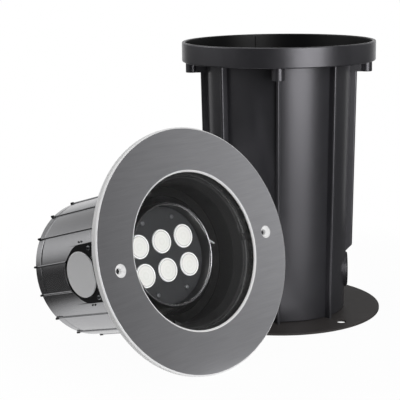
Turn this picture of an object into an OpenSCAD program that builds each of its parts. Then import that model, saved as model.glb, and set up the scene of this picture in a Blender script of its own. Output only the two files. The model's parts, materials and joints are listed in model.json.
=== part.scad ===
// In ground well light: the canister that is buried, and the lamp that drops into it.
// The lamp is out of its canister: it leans on the edge of its cover ring and on its rear ribs.
// The origin is the centre of the canister's underside, +Z points up, and lengths are millimetres.

/* [Canister] */
// Height from the underside of the base plate to the rim
canister_h = 276; // [230:1:320]
// Outer diameter of the collar at the mouth
collar_d = 194; // [190:1:206]
// Height of the collar
collar_h = 19.5; // [17:0.5:24]
// Thickness of the collar's wall
collar_wall = 3.4; // [2.5:0.1:4.5]
// Radius of the collar's lower edge
collar_round = 1.5; // [1:0.5:5]
// Thickness of the shelf inside the collar
shelf_t = 3; // [2:0.5:5]
// Outer diameter of the barrel under the collar
barrel_top_d = 144; // [143:1:152]
// Outer diameter of the barrel at the base plate
barrel_base_d = 135; // [132:1:145]
// Thickness of the barrel's wall
barrel_wall = 2.6; // [2:0.1:3.5]
// Thickness of the canister's floor
floor_t = 3; // [2:0.5:6]
// Width of a rib on the barrel
rib_w = 3.5; // [2.5:0.1:6]
// Height of a rib over the barrel
rib_out = 7; // [4:0.1:9]
// Width of the locating key inside the collar
key_w = 2.5; // [1.5:0.1:5]
// Height of the locating key over the collar's inner wall
key_out = 1.2; // [0.6:0.1:2]

/* [Lugs] */
// Circle of the cover screws, in the lugs and in the cover ring
screw_pcd = 175; // [170:0.5:176]
// Diameter of a lug
lug_d = 12.4; // [10:0.1:13]
// Height of a lug under the collar
lug_h = 12; // [10:0.5:20]
// Width of the web between a lug and the barrel
lug_web = 8; // [5:0.5:11]
// Outer diameter of the threaded insert
insert_d = 7; // [6:0.1:8]
// Height of the threaded insert
insert_h = 9; // [6:0.5:11]
// Diameter of the insert's threaded hole
insert_hole_d = 4.2; // [3.3:0.1:5]

/* [Base plate] */
// Diameter of the base plate
plate_d = 208; // [200:1:240]
// Thickness of the base plate
plate_t = 2; // [2:0.1:5]
// Circle of the anchor holes
anchor_pcd = 176; // [168:1:190]
// Diameter of an anchor hole
anchor_d = 10; // [6:0.5:11]
// Diameter of the drain hole
drain_d = 25; // [12:1:50]
// Circle of the screws that hold the plate to the canister
plate_screw_pcd = 90; // [70:1:110]
// Diameter of a plate screw
plate_screw_d = 5; // [4:0.5:6]

/* [Conduit entries] */
// Diameter of the conduit that an entry takes
conduit_d = 25; // [16:1:27]
// Height of the entries' axis
conduit_z = 40; // [34:1:60]
// Wall of the bush that lines an entry
bush_wall = 1.5; // [1:0.1:2.5]
// Thickness of the bush's rim
bush_rim_t = 1.2; // [0.8:0.1:2.5]
// Width of the bush's rim around its sleeve
bush_rim_w = 3; // [1.5:0.1:4]
// Wall of the boss around the bush
boss_wall = 4.4; // [2.5:0.1:6]
// Height of the boss over the barrel
boss_out = 1.3; // [0.5:0.1:3]

/* [Cover ring] */
// Outer diameter of the cover ring
ring_d = 220; // [212:1:240]
// Diameter of the window in the cover ring
ring_bore_d = 140; // [124:1:142]
// Thickness of the cover ring
ring_t = 6; // [5:0.5:8]
// Thickness of the lip over the glass
lip_t = 2.5; // [2:0.1:3.5]
// Bevel at both edges of the face
ring_bevel = 1.2; // [0.5:0.1:1.8]
// Diameter of a cover screw's hole
cover_hole_d = 5.5; // [4.5:0.1:6.5]
// Diameter of a cover screw's countersink
cover_head_d = 11.5; // [9:0.1:12.5]
// Diameter of the screws that hold the ring to the housing
ring_screw_d = 3; // [2.5:0.1:3.5]

/* [Glass] */
// Thickness of the glass
glass_t = 6; // [4:0.5:8]
// How far the glass reaches under the lip
glass_lap = 2.2; // [1.5:0.1:3]
// How far the glass reaches over the ledge behind it
glass_rest = 4.2; // [3:0.1:6]
// Gasket between the lip and the glass
gasket_front = 0.5; // [0.3:0.1:1]
// Gasket behind the glass
gasket_back = 1; // [0.5:0.1:2]
// Gasket around the glass
gasket_side = 2; // [1:0.1:3]
// Width of a liner clip
clip_w = 6; // [4:0.5:9]
// How far a liner clip reaches inwards
clip_reach = 3.2; // [2:0.1:4.5]

/* [Lamp housing] */
// Length of the lamp from the face to the rear
lamp_l = 158; // [150:1:175]
// Outer diameter of the housing behind its neck
house_front_d = 134.4; // [133:0.1:137]
// Outer diameter of the housing at its rear
house_rear_d = 129.8; // [129:0.1:133]
// Wall of the housing around the driver
house_wall = 2.5; // [1.8:0.1:3]
// Wall of the housing around the gimbal
gimbal_wall = 2.8; // [1.8:0.1:3.2]
// Diameter of the bore behind the glass
sight_d = 136; // [132:0.5:138]
// Thickness of the housing's flange
flange_t = 5; // [4:0.5:6]
// Number of ribs along the housing
lamp_ribs = 15; // [11:2:21]
// Width of a rib on the housing
lamp_rib_w = 2; // [1.2:0.1:4]
// Height of a rib over the housing
lamp_rib_out = 1.1; // [0.6:0.1:1.6]
// Extra height of the knob at a rib's rear end
knob_out = 0.6; // [0.2:0.1:1]
// Length of that knob
knob_l = 4; // [2:0.5:8]
// Length of the rear cap's rim
cap_h = 10; // [8:0.5:14]
// Thickness of the rear cap's floor
cap_floor_t = 4; // [3:0.5:6]
// Diameter of the screws that hold the rear cap
cap_screw_d = 4; // [3:0.5:4.5]

/* [Side port] */
// Depth of the port's centre behind the face
port_depth = 88; // [88:1:96]
// Diameter of the blank disc
port_d = 42.2; // [36:0.2:44]
// Width of the plate that the disc sits on
port_plate_w = 54; // [48:0.5:54]
// Thickness of that plate
port_plate_t = 2.2; // [1.5:0.1:2.5]
// How far the plate's face is sunk under the housing's front diameter
port_sink = 4.5; // [4:0.1:6.5]
// How far the plate's round end is centred before the disc
port_lead = 4.5; // [0:0.1:5]
// Thickness of the blank disc
port_disc_t = 1.2; // [0.8:0.1:1.6]

/* [Light unit] */
// Depth of the tilt axis behind the face
tilt_depth = 50.5; // [46:0.5:54]
// Outer diameter of the cup
cup_d = 95; // [90:0.5:96]
// Wall of the cup's tube
cup_wall = 2.5; // [1.5:0.1:3.5]
// How far the cup's rim stands before the tilt axis
cup_front = 16; // [14:0.5:18]
// How far the cup reaches behind the tilt axis
cup_back = 8; // [7:0.5:9]
// Depth of the lens plate inside the cup's rim
lens_plate_set = 12.4; // [10:0.1:13]
// Diameter of a lens
lens_d = 22; // [18:0.1:23]
// Distance between neighbouring lenses
lens_pitch = 26.5; // [24:0.1:27]
// Diameter of the pivot pins
pivot_d = 4; // [3:0.1:5]
// Height of the gimbal ring along the light's axis
gimbal_h = 12.4; // [11.5:0.1:14]
// Diameter of the heat sink
sink_d = 84; // [76:0.5:86]
// Height of the heat sink's fins
fin_h = 28; // [20:0.5:30]
// Thickness of a fin
fin_t = 2; // [1.2:0.1:3]
// Distance between neighbouring fins
fin_pitch = 12; // [11:0.1:13]

/* [Driver and gland] */
// Length of the driver's case
driver_w = 78; // [60:1:80]
// Width of the driver's case
driver_d = 48; // [36:1:50]
// Height of the driver's case
driver_h = 26; // [18:1:28]
// Diameter of the cable that the gland takes
cable_d = 9; // [7:0.5:10]
// Diameter of the gland's thread
gland_d = 20; // [18:1:21]

/* [Place of the lamp beside the canister] */
// Turn of the lamp's face from the front
heading = 47.1; // [30:0.1:60]
// How far the face stands before the canister's axis
lamp_forward = 80.8; // [60:0.1:95]
// Gap between the ring's edge and the collar, seen from above
lamp_gap = 17.2; // [5:0.1:60]
// Roll of the lamp about its own axis
lamp_turn = 1.2; // [-10:0.1:10]

/* [Hidden] */
$fn = 96;
lens_rows = 2;
lens_cols = 3;

// Clearances: a slip fit and a running fit are radial, a screw's hole is wider by screw_fit
slip_fit = 0.1;
run_fit = 0.05;
run_gap = 0.3;
screw_fit = 0.2;

// How far a cut reaches past a surface, and how far two cuts or solids reach into each other
cut = 1;
skin = 0.01;

// A screw's head and its hex socket, and what its hole is longer than its thread
function head_d(d) = 1.8 * d;
function head_h(d) = 0.6 * d;
function socket_d(d) = 0.8 * d;
tip_gap = 0.5;

// Canister
shelf_z = canister_h - collar_h;
collar_r = collar_d / 2;
barrel_top_r = barrel_top_d / 2;
barrel_base_r = barrel_base_d / 2;
screw_r = screw_pcd / 2;
key_turn = 105;
key_set = 2;
rib_hollow_r = rib_out + 0.5;
plate_head_d = 1.9 * plate_screw_d;
plate_head_h = 0.9 * plate_t;
function barrel_r(z) = barrel_base_r + (barrel_top_r - barrel_base_r) * (z - plate_t) / (shelf_z - plate_t);
sleeve_r = conduit_d / 2 + slip_fit;
bush_r = sleeve_r + bush_wall;
boss_r = bush_r + boss_wall;
boss_face = barrel_r(conduit_z) + boss_out;
boss_root = sqrt(pow(barrel_r(conduit_z) - barrel_wall, 2) - pow(boss_r, 2));
short_rib_z = conduit_z + boss_r;

// Stack behind the face, each as a depth
seat_depth = lip_t + gasket_front + glass_t + gasket_back;
clip_h = 3.5;
liner_depth = seat_depth + clip_h;
liner_lip = 0.5;
shelf_gap = 0.5;
neck_depth = ring_t + collar_h - shelf_t - shelf_gap;
neck_taper_h = 5;
bend_depth = neck_depth + 0.7;
gimbal_front = tilt_depth - gimbal_h / 2;
gimbal_rear = tilt_depth + gimbal_h / 2;
track_floor_t = 2.5;
liner_end = gimbal_front - run_gap;
track_depth = gimbal_rear + run_gap;
track_end = track_depth + track_floor_t;
body_end = lamp_l - cap_h;
cap_inner = lamp_l - cap_floor_t;

// Radii of the lamp's parts
ring_r = ring_d / 2;
ring_bore_r = ring_bore_d / 2;
sight_r = sight_d / 2;
glass_r = max(ring_bore_r + glass_lap, sight_r + glass_rest);
seat_r = glass_r + gasket_side;
gasket_inset = 0.3;
ring_screw_edge = 3;
ring_screw_r = seat_r + ring_screw_d / 2 + 2.8;
flange_r = ring_screw_r + ring_screw_edge;
neck_wall = 6.5;
neck_r = sight_r + neck_wall;
house_front_r = house_front_d / 2;
house_rear_r = house_rear_d / 2;
house_bore_r = house_rear_r - house_wall;
gimbal_bore_r = house_front_r - gimbal_wall;
function house_r(depth) =
    house_front_r + (house_rear_r - house_front_r) * (depth - neck_depth) / (body_end - neck_depth);
liner_wall = 1.8;
liner_floor_t = 1.5;
track_wall = 2;
track_lap = 2;
track_r = gimbal_bore_r - slip_fit;
gimbal_r = track_r - track_wall - run_gap;
rib_root = 1;

// Side port: its plate's front edge, its seat in the housing, and the pips beside it
port_gasket_t = 0.6;
port_gasket_w = 0.6;
port_margin = 0.3;
port_front = port_depth - port_d / 2 - port_gasket_w - port_margin;
port_face = house_front_r - port_sink;
port_seat_face = port_face - port_plate_t;
port_seat_t = 3;
port_screw_d = 2.5;
port_screw_edge = 4.5;
port_screw_bite = 2.2;
pip_r = 0.9;
pip_out = 0.8;
pip_root = 2;
pip_step = 2;
pip_set = 2.5;
pip_turn = asin((port_plate_w / 2 + 2.6) / house_front_r);

// Light unit
cup_r = cup_d / 2;
cup_bore_r = cup_r - cup_wall;
cup_edge = 0.4;
swing_gap = 6.5;
liner_hole_r = cup_r + swing_gap;
gimbal_hole_r = cup_r + swing_gap + 0.5;
rim_depth = tilt_depth - cup_front;
cup_end = tilt_depth + cup_back;
cup_floor_t = 3.4;
ledge_w = 2;
lens_plate_depth = rim_depth + lens_plate_set;
lens_plate_t = 2;
board_t = 1.6;
led_t = 0.6;
led_w = 3.6;
lens_foot_r = 3.6;
board_depth = cup_end - cup_floor_t - board_t;
lens_proud = 0.8;
lens_screw_d = 2.4;
lens_screw_place = [17.5, 33];
thread_floor = 0.6;
pivot_boss_r = 5;
pivot_gap = 0.5;
pivot_boss_end = gimbal_hole_r - pivot_gap;
pointer = [6.4, 1.2, 2];
pointer_place = [cup_r - 1, 3.4];
pointer_turn = -38;
pointer_set = 2.4;
sink_base_t = 4;
fins_each_side = floor((sink_d / 2 - fin_t) / fin_pitch);
sink_screw_d = 3;
sink_screw_place = [1.5 * fin_pitch, 25];

// Rear cap: a spigot with a groove for its seal, and three screws into posts of the housing
spigot_h = 5;
spigot_wall = 2.7;
spigot_r = house_bore_r - slip_fit;
groove_r = spigot_r - 1.7;
groove_front = body_end - 3.6;
groove_rear = body_end - 1.2;
cap_rim_r = house_rear_r - 0.4;
cap_screws_n = 3;
cap_screw_turn = 30;
cap_screw_r = house_bore_r - 5;
cap_screw_bite = 12;
cap_thread_h = 20;
cap_post_r = 4.8;
house_post_r = 6.5;
house_post_h = 36;

// Driver and terminal block, both on the rear cap's floor
driver_y = -15;
ear_w = 8;
ear_span = 14;
ear_t = 3;
driver_screw_d = 3;
driver_screw_bite = 2.4;
terminal_place = [18, 19];
terminal = [24, 11, 9];
terminals = 3;
terminal_pitch = 7;
terminal_hole_d = 3.4;

// Cable gland through the rear cap
gland_y = 36;
gland_hex = 1.28 * gland_d;
gland_hex_h = 6;
gland_thread_h = 6;
gland_neck_d = gland_d - 1;
gland_nut_d = 1.2 * gland_d;
gland_nut_h = 14;
gland_nut_cone_h = 4;
gland_grooves = 12;
gland_groove_d = 3;
gland_bore_d = cable_d + 4;
gland_seal_h = gland_hex_h + gland_nut_h - 2;
locknut_h = 4;

// Pose of the lamp: it touches the floor with the back edge of its ring and with its lowest rib
rib_pitch = 360 / lamp_ribs;
knob_r = house_rear_r + lamp_rib_out + knob_out;
foot_place = 90 - rib_pitch / 2 - lamp_turn;
foot_turn = abs(foot_place - rib_pitch * round(foot_place / rib_pitch));
foot_r = knob_r * cos(max(0, foot_turn - asin(lamp_rib_w / 2 / knob_r)));
lean = atan((ring_r - foot_r) / (lamp_l - ring_t));
lamp_z = ring_r * cos(lean) + ring_t * sin(lean);
lamp_x = -ring_r - sqrt(pow(collar_r + lamp_gap, 2) - pow(lamp_forward, 2));

// Puts a part of the lamp, drawn with its face at z = 0 and its depth along -z, where the lamp lies
module lamp() {
    rotate([0, 0, heading])
        translate([lamp_x, -lamp_forward, lamp_z])
            rotate([90 - lean, 0, 0])
                rotate([0, 0, lamp_turn])
                    children();
}

// Moves a part to a depth behind the face
module at_depth(depth) {
    translate([0, 0, -depth]) children();
}

// A solid of revolution whose outline is a list of [radius, depth]
module turned(outline) {
    rotate_extrude() polygon([for (p = outline) [p[0], -p[1]]]);
}

// A ring between two radii and two depths
module tube(inner_r, outer_r, front, rear) {
    turned([[inner_r, front], [outer_r, front], [outer_r, rear], [inner_r, rear]]);
}

// A screw that points to -z, with the underside of its head at z = 0
module screw(d, length) {
    difference() {
        union() {
            cylinder(d1 = head_d(d), d2 = 0.8 * head_d(d), h = head_h(d));
            translate([0, 0, -length]) cylinder(d = d, h = length + head_h(d) / 2);
        }
        translate([0, 0, 0.4 * head_h(d)]) cylinder(d = socket_d(d), h = head_h(d), $fn = 6);
    }
}

// Repeats a part round the axis, starting at a turn
module around(count, start = 0) {
    for (i = [0 : count - 1]) rotate([0, 0, start + i * 360 / count]) children();
}

// Repeats a part at the four corners of a rectangle
module corners(place) {
    for (x = [-place[0], place[0]], y = [-place[1], place[1]]) translate([x, y, 0]) children();
}

// One rib plate of the barrel, before it is cut to the rib's height
module barrel_rib_plate(bottom) {
    translate([barrel_base_r - barrel_wall, -rib_w / 2, bottom])
        cube([barrel_top_r + rib_out, rib_w, shelf_z - bottom]);
}

// The eight ribs: the two over the conduit entries stop there in a hollow curve
module barrel_ribs() {
    tip_r = barrel_r(short_rib_z) + rib_out;
    intersection() {
        rotate_extrude() polygon([
            [barrel_base_r - barrel_wall / 2, plate_t],
            [barrel_base_r + rib_out, plate_t],
            [barrel_top_r + rib_out, shelf_z],
            [barrel_top_r - barrel_wall / 2, shelf_z]
        ]);
        union() {
            for (turn = [45, 90, 135, 225, 270, 315]) rotate([0, 0, turn]) barrel_rib_plate(plate_t);
            around(2) difference() {
                barrel_rib_plate(short_rib_z);
                translate([tip_r, 0, short_rib_z]) rotate([90, 0, 0])
                    cylinder(r = rib_hollow_r, h = rib_w + 2 * cut, center = true);
            }
        }
    }
}

// The section of the canister: floor, barrel, shelf and collar
module canister_section() {
    polygon([
        [barrel_base_r - barrel_wall, plate_t],
        [barrel_base_r, plate_t],
        [barrel_top_r, shelf_z],
        [barrel_top_r, shelf_z + shelf_t],
        [barrel_top_r - barrel_wall, shelf_z + shelf_t],
        [barrel_top_r - barrel_wall, shelf_z]
    ]);
    translate([drain_d / 2, plate_t]) square([barrel_base_r - barrel_wall - drain_d / 2 + cut, floor_t]);
    translate([barrel_top_r - barrel_wall, shelf_z])
        square([collar_r - collar_round - barrel_top_r + barrel_wall, shelf_t]);
    translate([collar_r - collar_wall, shelf_z + collar_round])
        square([collar_wall, collar_h - collar_round]);
    intersection() {
        translate([collar_r - collar_round, shelf_z + collar_round]) circle(r = collar_round);
        translate([collar_r - collar_round, shelf_z]) square([collar_round, collar_round]);
    }
}

module canister() {
    color("#2c2c2f") difference() {
        union() {
            rotate_extrude() canister_section();
            barrel_ribs();
            around(4) {
                translate([screw_r, 0, shelf_z - lug_h]) cylinder(d = lug_d, h = lug_h + shelf_t);
                translate([barrel_top_r - barrel_wall / 2, -lug_web / 2, shelf_z - lug_h])
                    cube([screw_r - barrel_top_r, lug_web, lug_h]);
            }
            around(2) translate([boss_root, 0, conduit_z]) rotate([0, 90, 0])
                cylinder(r = boss_r, h = boss_face - boss_root);
            rotate([0, 0, key_turn])
                translate([collar_r - collar_wall - key_out, -key_w / 2, shelf_z + shelf_t])
                    cube([key_out + collar_wall / 2, key_w, collar_h - shelf_t - key_set]);
        }
        around(4) translate([screw_r, 0, shelf_z + shelf_t - insert_h])
            cylinder(d = insert_d, h = insert_h + cut);
        around(2) translate([boss_root - 2 * barrel_wall, 0, conduit_z]) rotate([0, 90, 0])
            cylinder(r = bush_r, h = boss_face);
        around(4) translate([plate_screw_pcd / 2, 0, plate_t - cut])
            cylinder(d = plate_screw_d, h = floor_t + 2 * cut);
    }
}

module base_plate() {
    color("#3a3736") difference() {
        cylinder(d = plate_d, h = plate_t);
        translate([0, 0, -cut]) cylinder(d = drain_d, h = plate_t + 2 * cut);
        around(4, 45) translate([anchor_pcd / 2, 0, -cut]) cylinder(d = anchor_d, h = plate_t + 2 * cut);
        around(4) translate([plate_screw_pcd / 2, 0, -skin])
            cylinder(d1 = plate_head_d, d2 = plate_screw_d, h = plate_head_h);
        around(4) translate([plate_screw_pcd / 2, 0, -cut])
            cylinder(d = plate_screw_d, h = plate_t + 2 * cut);
    }
}

module plate_screws() {
    color("#b9bcc0") around(4) translate([plate_screw_pcd / 2, 0, 0]) difference() {
        union() {
            cylinder(d1 = plate_head_d - screw_fit, d2 = plate_screw_d - screw_fit, h = plate_head_h);
            cylinder(d = plate_screw_d - screw_fit, h = plate_t + floor_t);
        }
        translate([0, 0, -cut]) cylinder(d = 0.6 * plate_screw_d, h = cut + 0.6 * plate_t, $fn = 6);
    }
}

module lug_inserts() {
    color("#b8935a") around(4) translate([screw_r, 0, shelf_z + shelf_t - insert_h]) difference() {
        cylinder(d = insert_d, h = insert_h);
        translate([0, 0, -cut]) cylinder(d = insert_hole_d, h = insert_h + 2 * cut);
    }
}

// A bush that lines one conduit entry, drawn on the +X side
module conduit_bush() {
    color("#1d1d1f") translate([0, 0, conduit_z]) rotate([0, 90, 0]) rotate_extrude() polygon([
        [sleeve_r, boss_root],
        [bush_r, boss_root],
        [bush_r, boss_face],
        [bush_r + bush_rim_w, boss_face],
        [bush_r + bush_rim_w, boss_face + bush_rim_t],
        [sleeve_r, boss_face + bush_rim_t]
    ]);
}

module cover_ring() {
    sink_h = (cover_head_d - cover_hole_d) / 2;
    color("#9b9c9e") difference() {
        turned([
            [ring_bore_r, ring_bevel],
            [ring_bore_r + ring_bevel, 0],
            [ring_r - ring_bevel, 0],
            [ring_r, ring_bevel],
            [ring_r, ring_t],
            [seat_r, ring_t],
            [seat_r, lip_t],
            [ring_bore_r, lip_t]
        ]);
        around(2) translate([screw_r, 0, 0]) {
            at_depth(ring_t + cut) cylinder(d = cover_hole_d, h = ring_t + 2 * cut);
            at_depth(sink_h) cylinder(d1 = cover_hole_d, d2 = cover_head_d + 2 * skin, h = sink_h + skin);
        }
        around(4, 45) translate([ring_screw_r, 0, 0])
            at_depth(ring_t + cut) cylinder(d = ring_screw_d, h = ring_t - lip_t + cut);
    }
}

module glass() {
    color("#c9d6d8", 0.3) tube(0, glass_r, lip_t + gasket_front, lip_t + gasket_front + glass_t);
}

module glass_gasket() {
    glass_front = lip_t + gasket_front;
    color("#151516") turned([
        [ring_bore_r + gasket_inset, lip_t],
        [seat_r, lip_t],
        [seat_r, seat_depth],
        [sight_r, seat_depth],
        [sight_r, glass_front + glass_t],
        [glass_r, glass_front + glass_t],
        [glass_r, glass_front],
        [ring_bore_r + gasket_inset, glass_front]
    ]);
}

module ring_screws() {
    color("#b9bcc0") around(4, 45) translate([ring_screw_r, 0, 0]) at_depth(ring_t + flange_t)
        rotate([180, 0, 0]) screw(ring_screw_d, flange_t + ring_t - lip_t - tip_gap);
}

module liner() {
    outer_r = sight_r - slip_fit;
    deep_r = gimbal_bore_r - slip_fit;
    color("#1f1f21") turned([
        [outer_r - liner_wall, liner_depth],
        [outer_r, liner_depth],
        [outer_r, liner_depth + liner_lip],
        [deep_r, bend_depth],
        [deep_r, liner_end],
        [liner_hole_r, liner_end],
        [liner_hole_r, liner_end - liner_floor_t],
        [deep_r - liner_wall, liner_end - liner_floor_t],
        [deep_r - liner_wall, bend_depth]
    ]);
}

module liner_clips() {
    color("#151516") intersection() {
        tube(sight_r - clip_reach, sight_r, seat_depth, liner_depth);
        around(3) translate([0, -clip_w / 2, -liner_depth]) cube([sight_r + cut, clip_w, liner_depth]);
    }
}

// The plates that an envelope cuts down to the ribs between two depths
module lamp_rib_plates(front, rear) {
    around(lamp_ribs, 180 + rib_pitch / 2) translate([0, -lamp_rib_w / 2, -rear])
        cube([ring_r, lamp_rib_w, rear - front]);
}

// Outline of the side port's plate, round at the rear: x is the depth, y runs across
module port_outline(w) {
    end_depth = port_depth - port_lead;
    translate([end_depth, 0]) intersection() {
        circle(d = w);
        translate([-cut, -w / 2]) square([w / 2 + cut, w]);
    }
    translate([port_front, -w / 2]) square([end_depth - port_front, w]);
}

// Raises an outline of the side port between two distances from the lamp's axis
module port_block(near, far) {
    rotate([0, -90, 0]) mirror([1, 0, 0]) translate([0, 0, near]) linear_extrude(far - near) children();
}

module housing() {
    color("#3b3d40") difference() {
        union() {
            turned([
                [seat_r, ring_t],
                [flange_r, ring_t],
                [flange_r, ring_t + flange_t],
                [neck_r, ring_t + flange_t],
                [neck_r, neck_depth - neck_taper_h],
                [house_front_r, neck_depth],
                [house_rear_r, body_end],
                [house_bore_r, body_end],
                [house_bore_r, track_end],
                [gimbal_bore_r, track_end],
                [gimbal_bore_r, bend_depth],
                [sight_r, liner_depth + liner_lip],
                [sight_r, seat_depth],
                [seat_r, seat_depth]
            ]);
            intersection() {
                turned([
                    [house_front_r - rib_root, neck_depth],
                    [house_front_r + lamp_rib_out, neck_depth],
                    [house_rear_r + lamp_rib_out, body_end],
                    [house_rear_r - rib_root, body_end]
                ]);
                lamp_rib_plates(neck_depth, body_end);
            }
            port_block(port_seat_face - port_seat_t, port_seat_face) port_outline(port_plate_w);
            cap_screw_places() intersection() {
                at_depth(body_end - spigot_h) cylinder(r = house_post_r, h = house_post_h);
                translate([-cap_screw_r, 0, 0]) tube(0, house_bore_r + rib_root, 0, lamp_l);
            }
            for (side = [-1, 1], step = [-pip_step, pip_step])
                rotate([0, 0, 180 + side * pip_turn])
                    translate([house_r(port_depth - pip_set) - pip_root, 0, step + pip_set - port_depth])
                        rotate([0, 90, 0]) cylinder(r = pip_r, h = pip_root + pip_out);
        }
        port_block(port_seat_face, ring_r) port_outline(port_plate_w + 2 * slip_fit);
        around(4, 45) translate([ring_screw_r, 0, 0]) at_depth(ring_t + flange_t + cut)
            cylinder(d = ring_screw_d + screw_fit, h = flange_t + 2 * cut);
        cap_screw_places() at_depth(body_end) cylinder(d = cap_screw_d, h = spigot_h + cap_thread_h);
        port_screw_places() cylinder(d = port_screw_d, h = 2 * (port_plate_t + port_seat_t), center = true);
    }
}

// The two screws at the front corners of the port's plate, with their heads' underside at its face
module port_screw_places() {
    for (side = [-1, 1])
        translate([-port_face, side * (port_plate_w / 2 - port_screw_edge), -port_front - port_screw_edge])
            rotate([0, -90, 0]) children();
}

// The screws round the rear cap
module cap_screw_places() {
    around(cap_screws_n, cap_screw_turn) translate([cap_screw_r, 0, 0]) children();
}

module port_plate() {
    color("#242527") difference() {
        port_block(port_seat_face, port_face) port_outline(port_plate_w);
        port_screw_places() cylinder(d = port_screw_d + screw_fit, h = 4 * port_plate_t, center = true);
    }
}

module port_screws() {
    color("#c4c6c9") port_screw_places() screw(port_screw_d, port_plate_t + port_screw_bite);
}

module port_gasket() {
    color("#151516") port_block(port_face, port_face + port_gasket_t)
        translate([port_depth, 0]) circle(d = port_d + 2 * port_gasket_w);
}

module port_disc() {
    color("#a9abae") at_depth(port_depth) rotate([0, -90, 0]) translate([0, 0, port_face + port_gasket_t]) {
        cylinder(d = port_d, h = port_disc_t / 2);
        translate([0, 0, port_disc_t / 2])
            cylinder(d1 = port_d, d2 = port_d - port_disc_t, h = port_disc_t / 2);
    }
}

// Slide ring that the gimbal turns in
module gimbal_track() {
    color("#d8d4c8") turned([
        [track_r - track_wall, liner_end],
        [track_r, liner_end],
        [track_r, track_end],
        [gimbal_hole_r + track_lap, track_end],
        [gimbal_hole_r + track_lap, track_depth],
        [track_r - track_wall, track_depth]
    ]);
}

module rear_cap() {
    inner_r = spigot_r - spigot_wall;
    color("#3b3d40") difference() {
        union() {
            turned([
                [inner_r, body_end - spigot_h],
                [spigot_r, body_end - spigot_h],
                [spigot_r, groove_front],
                [groove_r, groove_front],
                [groove_r, groove_rear],
                [spigot_r, groove_rear],
                [spigot_r, body_end],
                [cap_rim_r, body_end],
                [cap_rim_r, lamp_l],
                [0, lamp_l],
                [0, cap_inner],
                [inner_r, cap_inner]
            ]);
            intersection() {
                turned([
                    [inner_r, body_end],
                    [house_rear_r + lamp_rib_out, body_end],
                    [house_rear_r + lamp_rib_out, lamp_l - knob_l],
                    [knob_r, lamp_l - knob_l + knob_out],
                    [knob_r, lamp_l],
                    [inner_r, lamp_l]
                ]);
                lamp_rib_plates(body_end, lamp_l);
            }
            cap_screw_places() intersection() {
                at_depth(lamp_l - cap_floor_t / 2)
                    cylinder(r = cap_post_r, h = cap_h + spigot_h - cap_floor_t / 2);
                translate([-cap_screw_r, 0, 0]) tube(0, groove_r, 0, lamp_l);
            }
        }
        cap_screw_places() at_depth(lamp_l + cut) {
            cylinder(d = cap_screw_d + screw_fit, h = cap_h + spigot_h + 2 * cut);
            cylinder(d = head_d(cap_screw_d) + screw_fit, h = head_h(cap_screw_d) + cut);
        }
        translate([0, gland_y, -lamp_l - cut]) cylinder(d = gland_d + screw_fit, h = cap_floor_t + 2 * cut);
        driver_screw_places() cylinder(d = driver_screw_d, h = 2 * (driver_screw_bite + skin), center = true);
    }
}

// The seal fills the groove and touches the housing's bore
module cap_seal() {
    color("#151516") tube(groove_r, house_bore_r, groove_front, groove_rear);
}

module cap_screws() {
    head = head_h(cap_screw_d);
    color("#b9bcc0") cap_screw_places() at_depth(lamp_l - head)
        rotate([180, 0, 0]) screw(cap_screw_d, cap_h + spigot_h - head + cap_screw_bite);
}

module driver_screw_places() {
    for (side = [-1, 1]) translate([side * (driver_w + ear_w) / 2, driver_y, -cap_inner]) children();
}

module driver() {
    color("#e4e2da") difference() {
        union() {
            translate([-driver_w / 2, driver_y - driver_d / 2, -cap_inner])
                cube([driver_w, driver_d, driver_h]);
            translate([-driver_w / 2 - ear_w, driver_y - ear_span / 2, -cap_inner])
                cube([driver_w + 2 * ear_w, ear_span, ear_t]);
        }
        driver_screw_places() cylinder(d = driver_screw_d + screw_fit, h = 2 * (ear_t + cut), center = true);
    }
}

module driver_screws() {
    color("#b9bcc0") driver_screw_places()
        translate([0, 0, ear_t]) screw(driver_screw_d, ear_t + driver_screw_bite);
}

module terminal_block() {
    color("#ece9df") translate([terminal_place[0], terminal_place[1], -cap_inner]) difference() {
        cube(terminal);
        for (i = [0 : terminals - 1])
            translate([terminal[0] / 2 + (i - (terminals - 1) / 2) * terminal_pitch, -cut, terminal[2] / 2])
                rotate([-90, 0, 0]) cylinder(d = terminal_hole_d, h = terminal[1] + 2 * cut);
    }
}

// The gland's parts share one axis on the rear cap
module gland_place(depth) {
    translate([0, gland_y, -depth]) rotate([180, 0, 0]) children();
}

module gland_body() {
    color("#202022") difference() {
        union() {
            gland_place(lamp_l) cylinder(d = gland_hex, h = gland_hex_h, $fn = 6);
            gland_place(lamp_l + gland_hex_h) cylinder(d = gland_neck_d, h = gland_thread_h);
            gland_place(cap_inner - gland_thread_h) cylinder(d = gland_d, h = cap_floor_t + gland_thread_h);
        }
        gland_place(cap_inner - gland_thread_h - cut) cylinder(d = gland_bore_d, h = lamp_l);
    }
}

module gland_seal() {
    color("#151516") gland_place(lamp_l) difference() {
        cylinder(d = gland_bore_d, h = gland_seal_h);
        translate([0, 0, -cut]) cylinder(d = cable_d + 2 * slip_fit, h = gland_seal_h + 2 * cut);
    }
}

module gland_nut() {
    grip_h = gland_nut_h - gland_nut_cone_h;
    color("#202022") gland_place(lamp_l + gland_hex_h) difference() {
        union() {
            cylinder(d = gland_nut_d, h = grip_h);
            translate([0, 0, grip_h])
                cylinder(d1 = gland_nut_d, d2 = 0.75 * gland_nut_d, h = gland_nut_cone_h);
        }
        translate([0, 0, -cut]) cylinder(d = gland_neck_d, h = gland_thread_h + cut);
        translate([0, 0, -cut]) cylinder(d = gland_bore_d, h = gland_nut_h + 2 * cut);
        around(gland_grooves) translate([gland_nut_d / 2 + gland_groove_d / 4, 0, -cut])
            cylinder(d = gland_groove_d, h = grip_h + cut);
    }
}

module gland_locknut() {
    color("#202022") gland_place(cap_inner - locknut_h) difference() {
        cylinder(d = gland_hex, h = locknut_h, $fn = 6);
        translate([0, 0, -cut]) cylinder(d = gland_d, h = locknut_h + 2 * cut);
    }
}

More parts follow.
